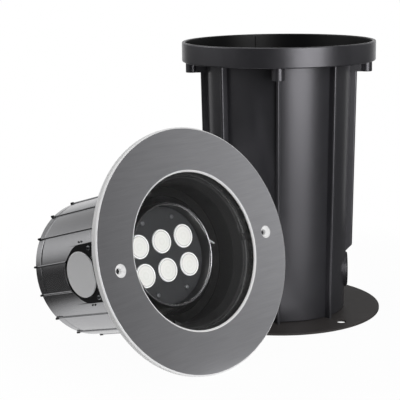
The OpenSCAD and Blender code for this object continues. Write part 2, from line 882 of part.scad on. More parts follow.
// The two pivots on the tilt axis, each drawn along +z from the light's axis
module pivot_places() {
    for (side = [0, 180]) at_depth(tilt_depth) rotate([0, 90, side]) children();
}

module gimbal_ring() {
    color("#232325") difference() {
        tube(gimbal_hole_r, gimbal_r, gimbal_front, gimbal_rear);
        pivot_places() cylinder(d = pivot_d, h = gimbal_r + cut);
    }
}

module pivot_pins() {
    inner = cup_r + pivot_gap;
    color("#b9bcc0") pivot_places() translate([0, 0, inner])
        cylinder(d = pivot_d, h = gimbal_r - pivot_gap - inner);
}

module led_cup() {
    color("#2a2a2c") difference() {
        union() {
            turned([
                [cup_bore_r, rim_depth + cup_edge],
                [cup_bore_r + cup_edge, rim_depth],
                [cup_r - cup_edge, rim_depth],
                [cup_r, rim_depth + cup_edge],
                [cup_r, cup_end],
                [0, cup_end],
                [0, cup_end - cup_floor_t],
                [cup_bore_r - ledge_w, cup_end - cup_floor_t],
                [cup_bore_r - ledge_w, lens_plate_depth + lens_plate_t],
                [cup_bore_r, lens_plate_depth + lens_plate_t]
            ]);
            pivot_places() translate([0, 0, cup_bore_r])
                cylinder(r = pivot_boss_r, h = pivot_boss_end - cup_bore_r);
        }
        pivot_places() translate([0, 0, cup_r]) cylinder(r = pivot_d / 2 + run_fit, h = pivot_boss_end);
        corners(lens_screw_place) at_depth(cup_end - thread_floor)
            cylinder(d = lens_screw_d, h = cup_floor_t);
        corners(sink_screw_place) at_depth(cup_end + cut)
            cylinder(d = sink_screw_d, h = cup_floor_t - thread_floor + cut);
    }
}

// A bent tab on the cup's rim, beside the pivot
module tilt_pointer() {
    color("#cfd1d4") at_depth(rim_depth + pointer_set) difference() {
        translate(pointer_place) rotate([0, 0, pointer_turn]) cube(pointer);
        translate([0, 0, -cut]) cylinder(r = cup_r, h = pointer[2] + 2 * cut);
    }
}

function lens_place(i) = [
    ((i - 1) % lens_cols - (lens_cols - 1) / 2) * lens_pitch,
    (floor((i - 1) / lens_cols) - (lens_rows - 1) / 2) * lens_pitch
];

module lens_plate() {
    color("#46484b") difference() {
        tube(0, cup_bore_r - slip_fit, lens_plate_depth, lens_plate_depth + lens_plate_t);
        for (i = [1 : lens_rows * lens_cols]) translate(lens_place(i))
            at_depth(lens_plate_depth + lens_plate_t + cut)
                cylinder(d = lens_d + 2 * slip_fit, h = lens_plate_t + 2 * cut);
        corners(lens_screw_place) at_depth(lens_plate_depth + lens_plate_t + cut)
            cylinder(d = lens_screw_d + screw_fit, h = lens_plate_t + 2 * cut);
    }
}

module lens(i) {
    color("#eceded") translate(lens_place(i)) turned([
        [0, lens_plate_depth - lens_proud],
        [lens_d / 2 - lens_proud, lens_plate_depth - lens_proud],
        [lens_d / 2, lens_plate_depth],
        [lens_d / 2, lens_plate_depth + lens_plate_t],
        [lens_foot_r, board_depth - led_t],
        [0, board_depth - led_t]
    ]);
}

module lens_screws() {
    color("#77797c") corners(lens_screw_place) at_depth(lens_plate_depth)
        screw(lens_screw_d, cup_end - thread_floor - tip_gap - lens_plate_depth);
}

module led_board() {
    color("#e8e6df") difference() {
        tube(0, cup_bore_r - ledge_w - run_gap, board_depth, board_depth + board_t);
        corners(lens_screw_place) at_depth(board_depth + board_t + cut)
            cylinder(d = lens_screw_d + screw_fit, h = board_t + 2 * cut);
    }
}

module leds() {
    color("#e9d36a") for (i = [1 : lens_rows * lens_cols]) translate(lens_place(i))
        at_depth(board_depth) translate([-led_w / 2, -led_w / 2, 0]) cube([led_w, led_w, led_t]);
}

module heat_sink() {
    color("#8d9093") difference() {
        union() {
            tube(0, sink_d / 2, cup_end, cup_end + sink_base_t);
            intersection() {
                tube(0, sink_d / 2, cup_end, cup_end + sink_base_t + fin_h);
                for (i = [-fins_each_side : fins_each_side])
                    translate([i * fin_pitch - fin_t / 2, -sink_d / 2, -cup_end - sink_base_t - fin_h])
                        cube([fin_t, sink_d, fin_h + sink_base_t]);
            }
        }
        corners(sink_screw_place) at_depth(cup_end + sink_base_t + cut)
            cylinder(d = sink_screw_d + screw_fit, h = sink_base_t + 2 * cut);
    }
}

module sink_screws() {
    color("#b9bcc0") corners(sink_screw_place) at_depth(cup_end + sink_base_t) rotate([180, 0, 0])
        screw(sink_screw_d, sink_base_t + cup_floor_t - thread_floor - tip_gap);
}

canister();
base_plate();
plate_screws();
lug_inserts();
conduit_bush();  // conduit_bush_right
rotate([0, 0, 180]) conduit_bush();  // conduit_bush_left
lamp() cover_ring();
lamp() glass();
lamp() glass_gasket();
lamp() liner();
lamp() liner_clips();
lamp() housing();
lamp() ring_screws();
lamp() port_plate();
lamp() port_screws();
lamp() port_gasket();
lamp() port_disc();
lamp() gimbal_track();
lamp() rear_cap();
lamp() cap_seal();
lamp() cap_screws();
lamp() driver();
lamp() driver_screws();
lamp() terminal_block();
lamp() gland_body();
lamp() gland_seal();
lamp() gland_nut();
lamp() gland_locknut();
lamp() gimbal_ring();
lamp() pivot_pins();
lamp() led_cup();
lamp() tilt_pointer();
lamp() lens_plate();
lamp() lens_screws();
lamp() led_board();
lamp() leds();
lamp() heat_sink();
lamp() sink_screws();
for (i = [1 : lens_rows * lens_cols]) {
    lamp() lens(i);
}
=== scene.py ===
# %% [markdown]
# # In ground well light
#
# The light is two things that stand side by side: the ribbed canister that is buried in the ground, and
# the lamp that drops into it. The lamp is a brushed steel ring with a deep, dark recess behind its glass,
# and a cast housing behind that. Its shapes are packed already as a frame of separate nodes, and this
# script dresses them. A moulded or turned edge is never quite sharp, so one job is to round the edges.
# The other is to give each surface the finish that its maker gave it.

# %% Load the frame
import bpy
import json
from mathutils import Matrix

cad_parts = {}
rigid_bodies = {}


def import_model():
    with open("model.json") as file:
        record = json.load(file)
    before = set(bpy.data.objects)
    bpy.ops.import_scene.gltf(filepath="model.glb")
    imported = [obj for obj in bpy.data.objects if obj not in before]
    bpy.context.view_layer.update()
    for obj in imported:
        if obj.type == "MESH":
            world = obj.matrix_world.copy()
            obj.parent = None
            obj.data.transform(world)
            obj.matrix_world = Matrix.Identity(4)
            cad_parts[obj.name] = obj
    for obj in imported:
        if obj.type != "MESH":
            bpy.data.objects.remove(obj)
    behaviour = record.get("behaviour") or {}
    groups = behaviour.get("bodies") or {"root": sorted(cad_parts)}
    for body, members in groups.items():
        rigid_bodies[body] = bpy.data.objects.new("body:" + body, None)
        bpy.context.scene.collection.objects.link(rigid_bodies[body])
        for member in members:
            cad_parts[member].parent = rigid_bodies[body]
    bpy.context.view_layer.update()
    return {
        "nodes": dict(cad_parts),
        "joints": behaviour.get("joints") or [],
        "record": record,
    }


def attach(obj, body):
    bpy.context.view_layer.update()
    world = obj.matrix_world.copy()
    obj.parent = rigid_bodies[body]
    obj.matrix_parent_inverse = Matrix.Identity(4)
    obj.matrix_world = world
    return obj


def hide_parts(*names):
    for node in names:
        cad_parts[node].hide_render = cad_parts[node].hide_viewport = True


for leftover in list(bpy.data.objects):
    bpy.data.objects.remove(leftover)
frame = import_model()

import json
import math

import bmesh
from mathutils import Matrix, Vector

MM = 0.001
NODES = frame["nodes"]
BODY_OF = {node: body for body, nodes in frame["record"]["behaviour"]["bodies"].items() for node in nodes}
SLOT_OF = {part["node"]: part["material_slot"] for part in frame["record"]["subparts"]}

# %% [markdown]
# ## The lamp's own axes
#
# The lamp leans on the floor, so its round parts aren't in line with the scene's axes. Its two hinges
# say how it lies: the gimbal turns about the light's axis, and the light unit tilts about a line across
# it. From these comes one matrix. A piece is drawn upright, with its face at z = 0 and its depth along
# -z, and the matrix then lays it where the lamp is.

# %% Find the lamp's axes from its joints
JOINTS = {joint["name"]: joint for joint in frame["joints"]}
light_axis = Vector(JOINTS["gimbal_turn"]["axis"]).normalized()
tilt_axis = Vector(JOINTS["unit_tilt"]["axis"]).normalized()
pivot = Vector(JOINTS["unit_tilt"]["pos_m"])
up_axis = light_axis.cross(tilt_axis)
lamp_turn = Matrix((tilt_axis, up_axis, light_axis)).transposed()
face_distance = max((vertex.co - pivot).dot(light_axis) for vertex in NODES["cover_ring"].data.vertices)
LAMP = Matrix.Translation(pivot + face_distance * light_axis) @ lamp_turn.to_4x4()
TO_LAMP = LAMP.inverted()


def lamp_points(node):
    """The points of a node along the lamp's own axes, in metres."""
    return [TO_LAMP @ vertex.co for vertex in NODES[node].data.vertices]


def lamp_reach(node):
    """How far a node reaches from the light's axis, in millimetres."""
    return max(math.hypot(point.x, point.y) for point in lamp_points(node)) / MM


def lamp_box(node):
    """The lowest and highest corner of a node along the lamp's own axes, in metres."""
    points = lamp_points(node)
    return [Vector(pick(point[i] for point in points) for i in range(3)) for pick in (min, max)]


RING_R = lamp_reach("cover_ring")
RING_T = -lamp_box("cover_ring")[0].z / MM
print("cover ring: radius %.1f mm, %.1f mm thick" % (RING_R, RING_T))

# %% [markdown]
# ## One helper for nodes
#
# Shaders and Geometry Nodes are both built from nodes. One small function adds a node, sets what it is
# told and links what it is given, so that each tree below reads from its first node to its last.


# %% Helpers for node trees
def add(tree, kind, inputs=None, **settings):
    """Adds a node. A value in inputs that is an output socket is linked, and any other is set."""
    node = tree.nodes.new(kind)
    for name, value in settings.items():
        setattr(node, name, value)
    for key, value in (inputs or {}).items():
        if isinstance(value, bpy.types.NodeSocket):
            tree.links.new(value, node.inputs[key])
        else:
            node.inputs[key].default_value = value
    return node


def blend(tree, operation, first, second):
    """One number from two."""
    return add(tree, "ShaderNodeMath", {0: first, 1: second}, operation=operation).outputs[0]


def rise(tree, value, start, end, low=0.0, high=1.0):
    """A smooth step from low to high while a value goes from start to end."""
    step = add(tree, "ShaderNodeMapRange", {"Value": value, "From Min": start, "From Max": end,
                                            "To Min": low, "To Max": high}, interpolation_type="SMOOTHSTEP")
    return step.outputs["Result"]


def distance(tree, first, second=(0, 0, 0)):
    """The distance between two places."""
    return add(tree, "ShaderNodeVectorMath", {0: first, 1: second}, operation="DISTANCE").outputs["Value"]


def hex_colour(code):
    """An sRGB hex value as the linear colour that a shader takes."""
    channels = [int(code[i:i + 2], 16) / 255 for i in (1, 3, 5)]
    linear = [c / 12.92 if c <= 0.04045 else ((c + 0.055) / 1.055) ** 2.4 for c in channels]
    return (*linear, 1.0)


print("helpers ready; mid grey is %.3f linear" % hex_colour("#808080")[0])

# %% [markdown]
# ## Camera
#
# The photograph was taken with a long lens from a little above the canister's rim, so the ring shows as
# an ellipse and the canister's sides stay nearly parallel. The place, the lens and the small roll were
# worked out from the outlines of the ring, the collar and the base plate.

# %% Place the camera
CAMERA_PLACE = Vector((5.36, -1231.68, 366.67)) * MM
CAMERA_YAW = math.radians(4.02)
CAMERA_PITCH = math.radians(11.64)
CAMERA_ROLL = math.radians(0.82)
LENS_PX = 1218.1
FRAME_PX = 400
SENSOR = 36

scene = bpy.context.scene
camera = bpy.data.objects.new("camera", bpy.data.cameras.new("camera"))
scene.collection.objects.link(camera)
camera.data.sensor_width = SENSOR
camera.data.lens = LENS_PX / FRAME_PX * SENSOR
camera.location = CAMERA_PLACE
aim = Matrix.Rotation(CAMERA_YAW, 4, "Z") @ Matrix.Rotation(math.pi / 2 - CAMERA_PITCH, 4, "X")
camera.rotation_euler = (aim @ Matrix.Rotation(-CAMERA_ROLL, 4, "Z")).to_euler()
bpy.context.scene.camera = camera
print("camera: lens %.1f mm" % camera.data.lens)

# %% [markdown]
# ## Studio
#
# Dark plastic and brushed steel show what is around them more than their own colour. So the room is made
# of bright and dark sides: the wall behind the light is white, the sides go from dark to white towards
# the back, the room behind the camera is dark and the ceiling is dim. The camera itself sees plain white.
# Each step runs between two values of a direction, from -1 to 1, and a strength of 1 is white.

# %% Room
scene.view_settings.view_transform = "Standard"

ROOM_TURN = math.radians(22)
ROOM_DARK, GREY_WALL, CEILING = 0.03, 0.78, 0.3
GREY_FROM, GREY_TO = -0.52, -0.25
WHITE_FROM, WHITE_TO = -0.1, 0.65
BACK_FROM, BACK_TO = 0.72, 0.95
TABLE_FROM, TABLE_TO = -0.15, 0.2
CEILING_FROM, CEILING_TO = 0.12, 0.4

world = bpy.data.worlds.new("studio")
scene.world = world
world.use_nodes = True
tree = world.node_tree
tree.nodes.clear()
direction = add(tree, "ShaderNodeTexCoord").outputs["Generated"]
towards = add(tree, "ShaderNodeSeparateXYZ", {0: direction}).outputs
bright_side = (-math.sin(ROOM_TURN), math.cos(ROOM_TURN), 0)
across = add(tree, "ShaderNodeVectorMath", {0: direction, 1: bright_side}, operation="DOT_PRODUCT")
grey_wall = rise(tree, across.outputs["Value"], GREY_FROM, GREY_TO, ROOM_DARK, GREY_WALL)
white_wall = rise(tree, across.outputs["Value"], WHITE_FROM, WHITE_TO, 0.0, 1.0 - GREY_WALL)
sides = blend(tree, "ADD", grey_wall, white_wall)
above = blend(tree, "MULTIPLY", sides, rise(tree, towards["Z"], TABLE_FROM, TABLE_TO))
behind = rise(tree, towards["Y"], BACK_FROM, BACK_TO, ROOM_DARK)
walls = blend(tree, "MAXIMUM", above, behind)
room = blend(tree, "MULTIPLY", walls, rise(tree, towards["Z"], CEILING_FROM, CEILING_TO, 1.0, CEILING))
level = blend(tree, "MAXIMUM", room, add(tree, "ShaderNodeLightPath").outputs["Is Camera Ray"])
glow = add(tree, "ShaderNodeBackground", {"Color": (1, 1, 1, 1), "Strength": level})
add(tree, "ShaderNodeOutputWorld", {"Surface": glow.outputs[0]})
print("room:", len(tree.nodes), "nodes")

# %% [markdown]
# A tall soft lamp on the right draws the upright highlight on the canister and lights the recess of the
# lamp. A weak one overhead and one high on the left keep the shadows open.

# %% Lamps
LIGHT_TARGET = Vector((0, -0.05, 0.14))


def studio_lamp(name, place, size, power):
    """A rectangular soft lamp at a place in metres, with its power in watts."""
    lamp = bpy.data.objects.new(name, bpy.data.lights.new(name, "AREA"))
    scene.collection.objects.link(lamp)
    lamp.data.shape = "RECTANGLE"
    lamp.data.size, lamp.data.size_y = size
    lamp.data.energy = power
    lamp.location = place
    lamp.rotation_euler = (LIGHT_TARGET - Vector(place)).to_track_quat("-Z", "Y").to_euler()
    print("%s: %.1f W" % (name, power))


studio_lamp("tall_lamp", (0.9, -1.32, 0.55), (1.15, 1.4), 18)
studio_lamp("top_lamp", (-0.3, -0.3, 1.7), (1.2, 1.2), 3.8)
studio_lamp("fill_lamp", (-1.3, -0.1, 0.85), (0.8, 0.8), 3.4)

# %% [markdown]
# ## Floor
#
# The floor is a disc of white paper. The camera sees it nearly plain white, with a faint shadow that is
# gone before the edge. In mirrors the paper is painted dim, with a painted glow in two places only: a
# bright patch under the lamp and a weaker spot in front, painted reflections for the canister. A floor
# that is all bright would take the black from the canister's foot.

# %% Floor
FLOOR_R = 0.46
FLOOR_EDGES = 96
FLOOR_PLAIN = 0.97
FADE_FROM, FADE_TO = 0.25, 0.42
GLOW_PATCH_PLACE, GLOW_PATCH_FROM, GLOW_PATCH_TO = (-0.10, -0.12, 0), 0.11, 0.18
POOL_PLACE, POOL_FROM, POOL_TO, POOL = (0.2, -0.33, 0), 0.06, 0.17, 0.6
MIRRORED_PAPER_DIM = 0.05

floor_mesh = bpy.data.meshes.new("floor")
turns = [math.tau * i / FLOOR_EDGES for i in range(FLOOR_EDGES)]
rim = [(FLOOR_R * math.cos(turn), FLOOR_R * math.sin(turn), 0) for turn in turns]
floor_mesh.from_pydata(rim, [], [range(FLOOR_EDGES)])
floor = bpy.data.objects.new("floor", floor_mesh)
scene.collection.objects.link(floor)

paper = bpy.data.materials.new("white_paper")
paper.use_nodes = True
tree = paper.node_tree
tree.nodes.clear()
matt = add(tree, "ShaderNodeBsdfDiffuse", {"Color": hex_colour("#f0f0f0")})
ray = add(tree, "ShaderNodeLightPath").outputs
mirrored = blend(tree, "MAXIMUM", ray["Is Glossy Ray"], ray["Is Transmission Ray"])
seen = blend(tree, "MAXIMUM", ray["Is Camera Ray"], mirrored)
spot = add(tree, "ShaderNodeTexCoord").outputs["Object"]
# Painted reflections: for mirrored rays the paper glows brightly under the lamp and more weakly in front,
# and is painted dim elsewhere.
glow_patch = rise(tree, distance(tree, spot, GLOW_PATCH_PLACE), GLOW_PATCH_FROM, GLOW_PATCH_TO, 1.0, MIRRORED_PAPER_DIM)
pool = rise(tree, distance(tree, spot, POOL_PLACE), POOL_FROM, POOL_TO, POOL, MIRRORED_PAPER_DIM)
strength = blend(tree, "MAXIMUM", ray["Is Camera Ray"], blend(tree, "MAXIMUM", glow_patch, pool))
plain = add(tree, "ShaderNodeEmission", {"Color": (1, 1, 1, 1), "Strength": strength})
share = blend(tree, "MULTIPLY", seen, rise(tree, distance(tree, spot), FADE_FROM, FADE_TO, FLOOR_PLAIN))
mix = add(tree, "ShaderNodeMixShader", {0: share, 1: matt.outputs[0], 2: plain.outputs[0]})
add(tree, "ShaderNodeOutputMaterial", {"Surface": mix.outputs[0]})
floor_mesh.materials.append(paper)
print("floor: radius", FLOOR_R, "m")

# %% [markdown]
# ## Finishes
#
# Each finish starts as one Principled shader with the values of the real material. What makes it look
# real is small: a moulded part has the fine grain of its mould, a brushed one has scratches along one
# direction, a coat of paint has a faint orange peel. These are noise patterns on Object coordinates, at
# their size in millimetres. The finest are drawn a little coarser than they are, so that they show.

# %% The base of a finish
FINISHES = {}


def set_sockets(shader, sockets):
    """Sets sockets by their names in lower case, with underscores for spaces."""
    for key, value in sockets.items():
        shader.inputs[key.replace("_", " ").title().replace("Ior", "IOR")].default_value = value


def finish(name, colour, **sockets):
    """A new material with one Principled shader. Its colour is an sRGB hex value."""
    material = bpy.data.materials.new(name)
    material.use_nodes = True
    tree = material.node_tree
    tree.nodes.clear()
    shader = add(tree, "ShaderNodeBsdfPrincipled", {"Base Color": hex_colour(colour)})
    set_sockets(shader, sockets)
    add(tree, "ShaderNodeOutputMaterial", {"Surface": shader.outputs[0]})
    FINISHES[name] = material
    return tree, shader


def overlay(tree, mask, colour, **sockets):
    """Covers a finish with a second Principled shader where the mask is 1."""
    cover = add(tree, "ShaderNodeBsdfPrincipled", {"Base Color": hex_colour(colour)})
    set_sockets(cover, sockets)
    end = tree.nodes["Material Output"].inputs["Surface"]
    both = add(tree, "ShaderNodeMixShader", {0: mask, 1: end.links[0].from_socket, 2: cover.outputs[0]})
    tree.links.new(both.outputs[0], end)


print("finishes so far:", len(FINISHES))


# %% Patterns
def own_place(tree):
    """The place on a piece in the scene's axes, in metres."""
    return add(tree, "ShaderNodeTexCoord").outputs["Object"]


def lamp_place(tree):
    """The place on the lamp's own axes, in metres: across, up and out of the face."""
    laid = add(tree, "ShaderNodeMapping", {"Vector": own_place(tree), "Location": TO_LAMP.to_translation(),
                                           "Rotation": TO_LAMP.to_euler()})
    return laid.outputs[0]


def height_of(tree, place):
    """The third number of a place."""
    return add(tree, "ShaderNodeSeparateXYZ", {0: place}).outputs["Z"]


def from_axis(tree, place, x=0.0):
    """The distance in metres of a place from the upright line at x millimetres."""
    flat = add(tree, "ShaderNodeVectorMath", {0: place, 1: (1, 1, 0)}, operation="MULTIPLY").outputs[0]
    return distance(tree, flat, (x * MM, 0, 0))


def grain(tree, size, detail=2.0, place=None):
    """Noise with features of that many millimetres."""
    noise = add(tree, "ShaderNodeTexNoise", {"Vector": place or own_place(tree), "Scale": 1 / (size * MM),
                                             "Detail": detail})
    return noise.outputs["Fac"]


def relief(tree, shader, height, depth):
    """Bump from a height of 0 to 1, with a depth in millimetres."""
    bump = add(tree, "ShaderNodeBump", {"Height": height, "Distance": depth * MM})
    tree.links.new(bump.outputs[0], shader.inputs["Normal"])


def vary(tree, socket, factor, low, high):
    """Drives a socket between two numbers or two hex colours by a factor of 0 to 1."""
    if isinstance(low, str):
        colours = {0: factor, 6: hex_colour(low), 7: hex_colour(high)}
        tree.links.new(add(tree, "ShaderNodeMix", colours, data_type="RGBA").outputs[2], socket)
    else:
        span = add(tree, "ShaderNodeMapRange", {"Value": factor, "To Min": low, "To Max": high})
        tree.links.new(span.outputs[0], socket)


print("patterns ready")

# %% [markdown]
# Plastic and rubber come out of a mould with hardly any change of colour. What the eye reads is how
# glossy they are, and how that gloss wanders a little over a hand's width.

# %% Moulded plastic and rubber
MOULD_GRAIN = 0.6


def moulded(name, low, high, roughness, depth=0.02, **sockets):
    """Plastic or rubber from a textured mould, with a fine grain."""
    tree, shader = finish(name, low, **sockets)
    vary(tree, shader.inputs["Base Color"], grain(tree, 18, 3.0), low, high)
    vary(tree, shader.inputs["Roughness"], grain(tree, 9, 3.0), roughness - 0.04, roughness + 0.04)
    relief(tree, shader, grain(tree, MOULD_GRAIN), depth)


# Black polyamide: satin, with a cool sheen, so that a soft lamp draws an upright band on it.
moulded("canister_plastic", "#2a2a2d", "#2f2f32", 0.33, specular_ior_level=1.0, ior=1.6,
        specular_tint=hex_colour("#faf8ff"))
# Black polyamide too, from a finer mould: satin, a shade lighter than its rubber gasket.
moulded("port_plate_plastic", "#18181a", "#1c1c1e", 0.38)
# Matt black plastic: it takes up stray light, so that the recess stays dark.
moulded("liner_black", "#0e0e0f", "#121213", 0.45, specular_ior_level=0.35)
# Matt black plastic again: the clips hardly show against the liner.
moulded("clip_plastic", "#101011", "#141415", 0.5)
# Black polyamide for the gland: a soft sheen on its flats.
moulded("gland_polyamide", "#17171a", "#1c1c1f", 0.42)
# Off-white ABS: the plain case of the driver.
moulded("driver_case", "#dcdad2", "#e2e0d8", 0.42)
# Ivory polyamide: a little warmer and glossier than the case.
moulded("terminal_plastic", "#e6e3d6", "#eceadf", 0.38)
# Turned acetal in its natural white: waxy and smooth, since the gimbal slides on it.
moulded("track_acetal", "#d9d5c6", "#dedacc", 0.3, depth=0.01)
# Black EPDM rubber: no gloss, only a grey bloom.
moulded("bush_rubber", "#121213", "#161617", 0.62)
# Black silicone: as dull, and a shade deeper.
moulded("seal_rubber", "#101010", "#141414", 0.6)
print("moulded finishes:", len(FINISHES))

# %% [markdown]
# A coat on metal is a hard skin with a faint orange peel. The housing's paint holds so much metal that it
# mirrors the room in broad soft panels. The other coats show their own colour.

# %% Coated metal
PEEL = 1.2


def painted(name, low, high, roughness, depth=0.03, specular=0.5, metallic=0.0):
    """Metal with paint, powder coat or another thin layer on it."""
    tree, shader = finish(name, low, specular_ior_level=specular, metallic=metallic)
    vary(tree, shader.inputs["Base Color"], grain(tree, 25, 3.0), low, high)
    vary(tree, shader.inputs["Roughness"], grain(tree, 7, 3.0), roughness - 0.03, roughness + 0.04)
    relief(tree, shader, grain(tree, PEEL), depth)


# Graphite paint on die-cast aluminium: each panel between two ribs mirrors a tone of the room.
painted("housing_paint", "#a0a0a2", "#a8a8aa", 0.22, depth=0.0015, metallic=0.9)
# Black-brown powder coat on sheet steel: a warm dark grey with hardly any gloss.
painted("base_plate_paint", "#454241", "#4a4746", 0.5, specular=0.1)
# Satin aluminium: pale and even, as a blank place for a label is.
painted("disc_aluminium", "#f7f7f8", "#fdfdfe", 0.45, depth=0.01)
# Black paint on aluminium: deep, with a dry sheen.
painted("gimbal_aluminium", "#151517", "#19191b", 0.4)
# Dark grey powder coat: matt, so that the lenses stand out.
painted("lens_plate_grey", "#232426", "#28292b", 0.5, specular=0.3)
print("finishes with the coated ones:", len(FINISHES))

# %% [markdown]
# Bare metal has no colour but that of its mirror. Fine machining marks spread that mirror.

# %% Bare metal
TOOL_MARKS = 0.35


def metal(name, low, high, roughness):
    """Bare machined metal."""
    tree, shader = finish(name, low, metallic=1.0)
    marks = grain(tree, TOOL_MARKS, 3.0)
    vary(tree, shader.inputs["Base Color"], grain(tree, 12, 3.0), low, high)
    vary(tree, shader.inputs["Roughness"], marks, roughness - 0.05, roughness + 0.07)
    relief(tree, shader, marks, 0.004)


# Stainless steel: grey, with a soft mirror.
metal("screw_steel", "#86888b", "#94969a", 0.3)
# Turned stainless steel: pale and satin, so that the pointer beside the cup shows in the dark.
metal("pin_steel", "#e2e4e6", "#f0f1f2", 0.5)
# Steel drawn lighter than it is, a painted glint: four faint light spots on the lens plate.
metal("lens_screw_steel", "#8a8b8e", "#98999c", 0.3)
# Brass: the warm ring of a threaded insert.
metal("insert_brass", "#b8935a", "#c29e66", 0.28)
# Extruded aluminium: plain and light grey.
metal("sink_aluminium", "#9a9da0", "#a4a7aa", 0.35)
print("finishes with the bare metals:", len(FINISHES))

# %% [markdown]
# ## Brushed stainless steel
#
# The cover ring is brushed in straight lines, so it mirrors the room as streaks across the scratches. The
# anisotropic shader stretches the mirror, and it needs the brushing's direction as its tangent. A picture
# of scratches would blur when it is seen from close by, so two noises make them, both stretched along the
# brushing: fine scratches and broad bands. The turned edges and the countersinks aren't brushed. They get
# a painted highlight: plain white and not metal, so that they show white whatever they mirror.

# %% Brushed stainless steel
SCRATCH, SCRATCH_STRETCH, BAND, BAND_STRETCH = 0.5, 1 / 60, 4, 0.12
HOLE_X, SINK_R, EDGE_R, BORE_EDGE_R = 87.5, 5.7, 108.7, 71.6

tree, shader = finish("ring_stainless", "#cfcfd1", metallic=1.0, roughness=0.28, anisotropic=0.7)
place = lamp_place(tree)


def stretched(size, detail, stretch):
    """Noise on the ring that is stretched along the brushing."""
    along = add(tree, "ShaderNodeMapping", {"Vector": place, "Scale": (stretch, 1, 1)}).outputs[0]
    return grain(tree, size, detail, along)


scratches = stretched(SCRATCH, 3.0, SCRATCH_STRETCH)
bands = stretched(BAND, 4.0, BAND_STRETCH)
both = blend(tree, "MULTIPLY", blend(tree, "ADD", scratches, bands), 0.5)
vary(tree, shader.inputs["Base Color"], both, "#c6c6ca", "#ededf1")
relief(tree, shader, scratches, 0.003)
brushing = add(tree, "ShaderNodeVectorTransform", {"Vector": tuple(up_axis)}, vector_type="VECTOR",
               convert_from="OBJECT", convert_to="WORLD")
tree.links.new(brushing.outputs[0], shader.inputs["Tangent"])
near_hole = blend(tree, "MINIMUM", from_axis(tree, place, -HOLE_X), from_axis(tree, place, HOLE_X))
reach = from_axis(tree, place)
# Painted highlight: the countersinks, the outer edge and the bore edge are white and not metal.
for painted_highlight_cut in (blend(tree, "LESS_THAN", near_hole, SINK_R * MM),
                   blend(tree, "GREATER_THAN", reach, EDGE_R * MM),
                   blend(tree, "LESS_THAN", reach, BORE_EDGE_R * MM)):
    overlay(tree, painted_highlight_cut, "#ffffff", metallic=0.0, roughness=0.4)
print("brushed steel:", len(tree.nodes), "nodes")

# %% [markdown]
# ## Glass, lenses and LEDs
#
# The pane is toughened glass with a coat that takes away most of its mirror, so its index is lower than
# that of plain glass. Light has to reach the recess through it, so it lets shadow rays pass. A lens is
# clear acrylic that looks white. Its colour goes outwards in rings of painted shade and light: a little
# darker where the ridges dip, a painted shadow in a groove and a painted highlight on the lip.

# %% Glass, lenses and LEDs
GLASS_INDEX, ACRYLIC_INDEX = 1.25, 1.49
LENS_PAINTED_LIGHT = [(0.0, "#dfdfdc"), (0.3, "#d8d8d4"), (0.35, "#dfdfdc"), (0.6, "#d9d9d5"), (0.65, "#dfdfdc"),
              (0.8, "#dbdbd8"), (0.85, "#9c9d9c"), (0.9, "#fafaf8")]

tree, shader = finish("clear_glass", "#ffffff", roughness=0.0, ior=GLASS_INDEX, transmission_weight=1.0)
ray = add(tree, "ShaderNodeLightPath").outputs
open_pane = add(tree, "ShaderNodeBsdfTransparent").outputs[0]
pane = add(tree, "ShaderNodeMixShader", {0: ray["Is Shadow Ray"], 1: shader.outputs[0], 2: open_pane})
tree.links.new(pane.outputs[0], tree.nodes["Material Output"].inputs["Surface"])

tree, shader = finish("lens_acrylic", "#f4f4f2", roughness=0.16, ior=ACRYLIC_INDEX)
out = add(tree, "ShaderNodeAttribute", attribute_name="out_share").outputs["Fac"]
# The rings are painted shade and light: darker bands at the ridges, a painted shadow at 0.85 and a painted
# highlight on the lip.
rings = add(tree, "ShaderNodeValToRGB", {0: out})
rings.color_ramp.elements[0].color = hex_colour(LENS_PAINTED_LIGHT[0][1])
for position, colour in LENS_PAINTED_LIGHT[1:]:
    rings.color_ramp.elements.new(position).color = hex_colour(colour)
tree.links.new(rings.outputs["Color"], shader.inputs["Base Color"])
relief(tree, shader, grain(tree, 1.4), 0.03)

# White solder mask on an aluminium board: smooth and slightly warm.
tree, shader = finish("board_white", "#e4e2da", roughness=0.35)
vary(tree, shader.inputs["Base Color"], grain(tree, 5), "#dedcd4", "#e9e7df")

# LED phosphor under clear silicone: a yellow dot with a wet gloss.
tree, shader = finish("led_phosphor", "#e0b93c", roughness=0.25)
vary(tree, shader.inputs["Base Color"], grain(tree, 0.8), "#dcb235", "#e6c24c")
print("finishes with glass and lenses:", len(FINISHES))

# %% [markdown]
# ## One finish beside another
#
# Some pieces carry two finishes. The black anodised cup has a bright turned rim and the coated housing has
# black knobs and pips. The deep inside of the collar and the floor of the liner carry painted shade: they
# are drawn darker and duller than the front. Each second finish lies where a place passes a radius or a
# depth, both in millimetres.

# %% Second finishes
CUP_RIM_R, CUP_RIM_DEPTH = 46.2, 36.5
KNOB_DEPTH, KNOB_FROM_R = 153.0, 65.2
PIP_DEPTH, PIP_TURN, PIP_REACH, PIP_FROM_R = 85.5, 26.1, 3.6, 66.5
COLLAR_INSIDE_R, COLLAR_INSIDE_Z = 94.0, 258.0
LINER_FLOOR_DEPTH = 41.5


def spin(degrees, axis="Z"):
    """A turn about an axis, as a matrix."""
    return Matrix.Rotation(math.radians(degrees), 4, axis)


def within(tree, place, height_test, height, radius_test, radius):
    """1 where a place passes both a height and a distance from the axis, in millimetres."""
    level = blend(tree, height_test, height_of(tree, place), height * MM)
    return blend(tree, "MULTIPLY", level, blend(tree, radius_test, from_axis(tree, place), radius * MM))


tree, shader = finish("cup_anodised", "#1a1a1c", roughness=0.34, ior=1.6)
vary(tree, shader.inputs["Base Color"], grain(tree, 9), "#161618", "#1d1d1f")
rim = within(tree, lamp_place(tree), "GREATER_THAN", -CUP_RIM_DEPTH, "LESS_THAN", CUP_RIM_R)
overlay(tree, rim, "#b2b2b5", metallic=1.0, roughness=0.2)

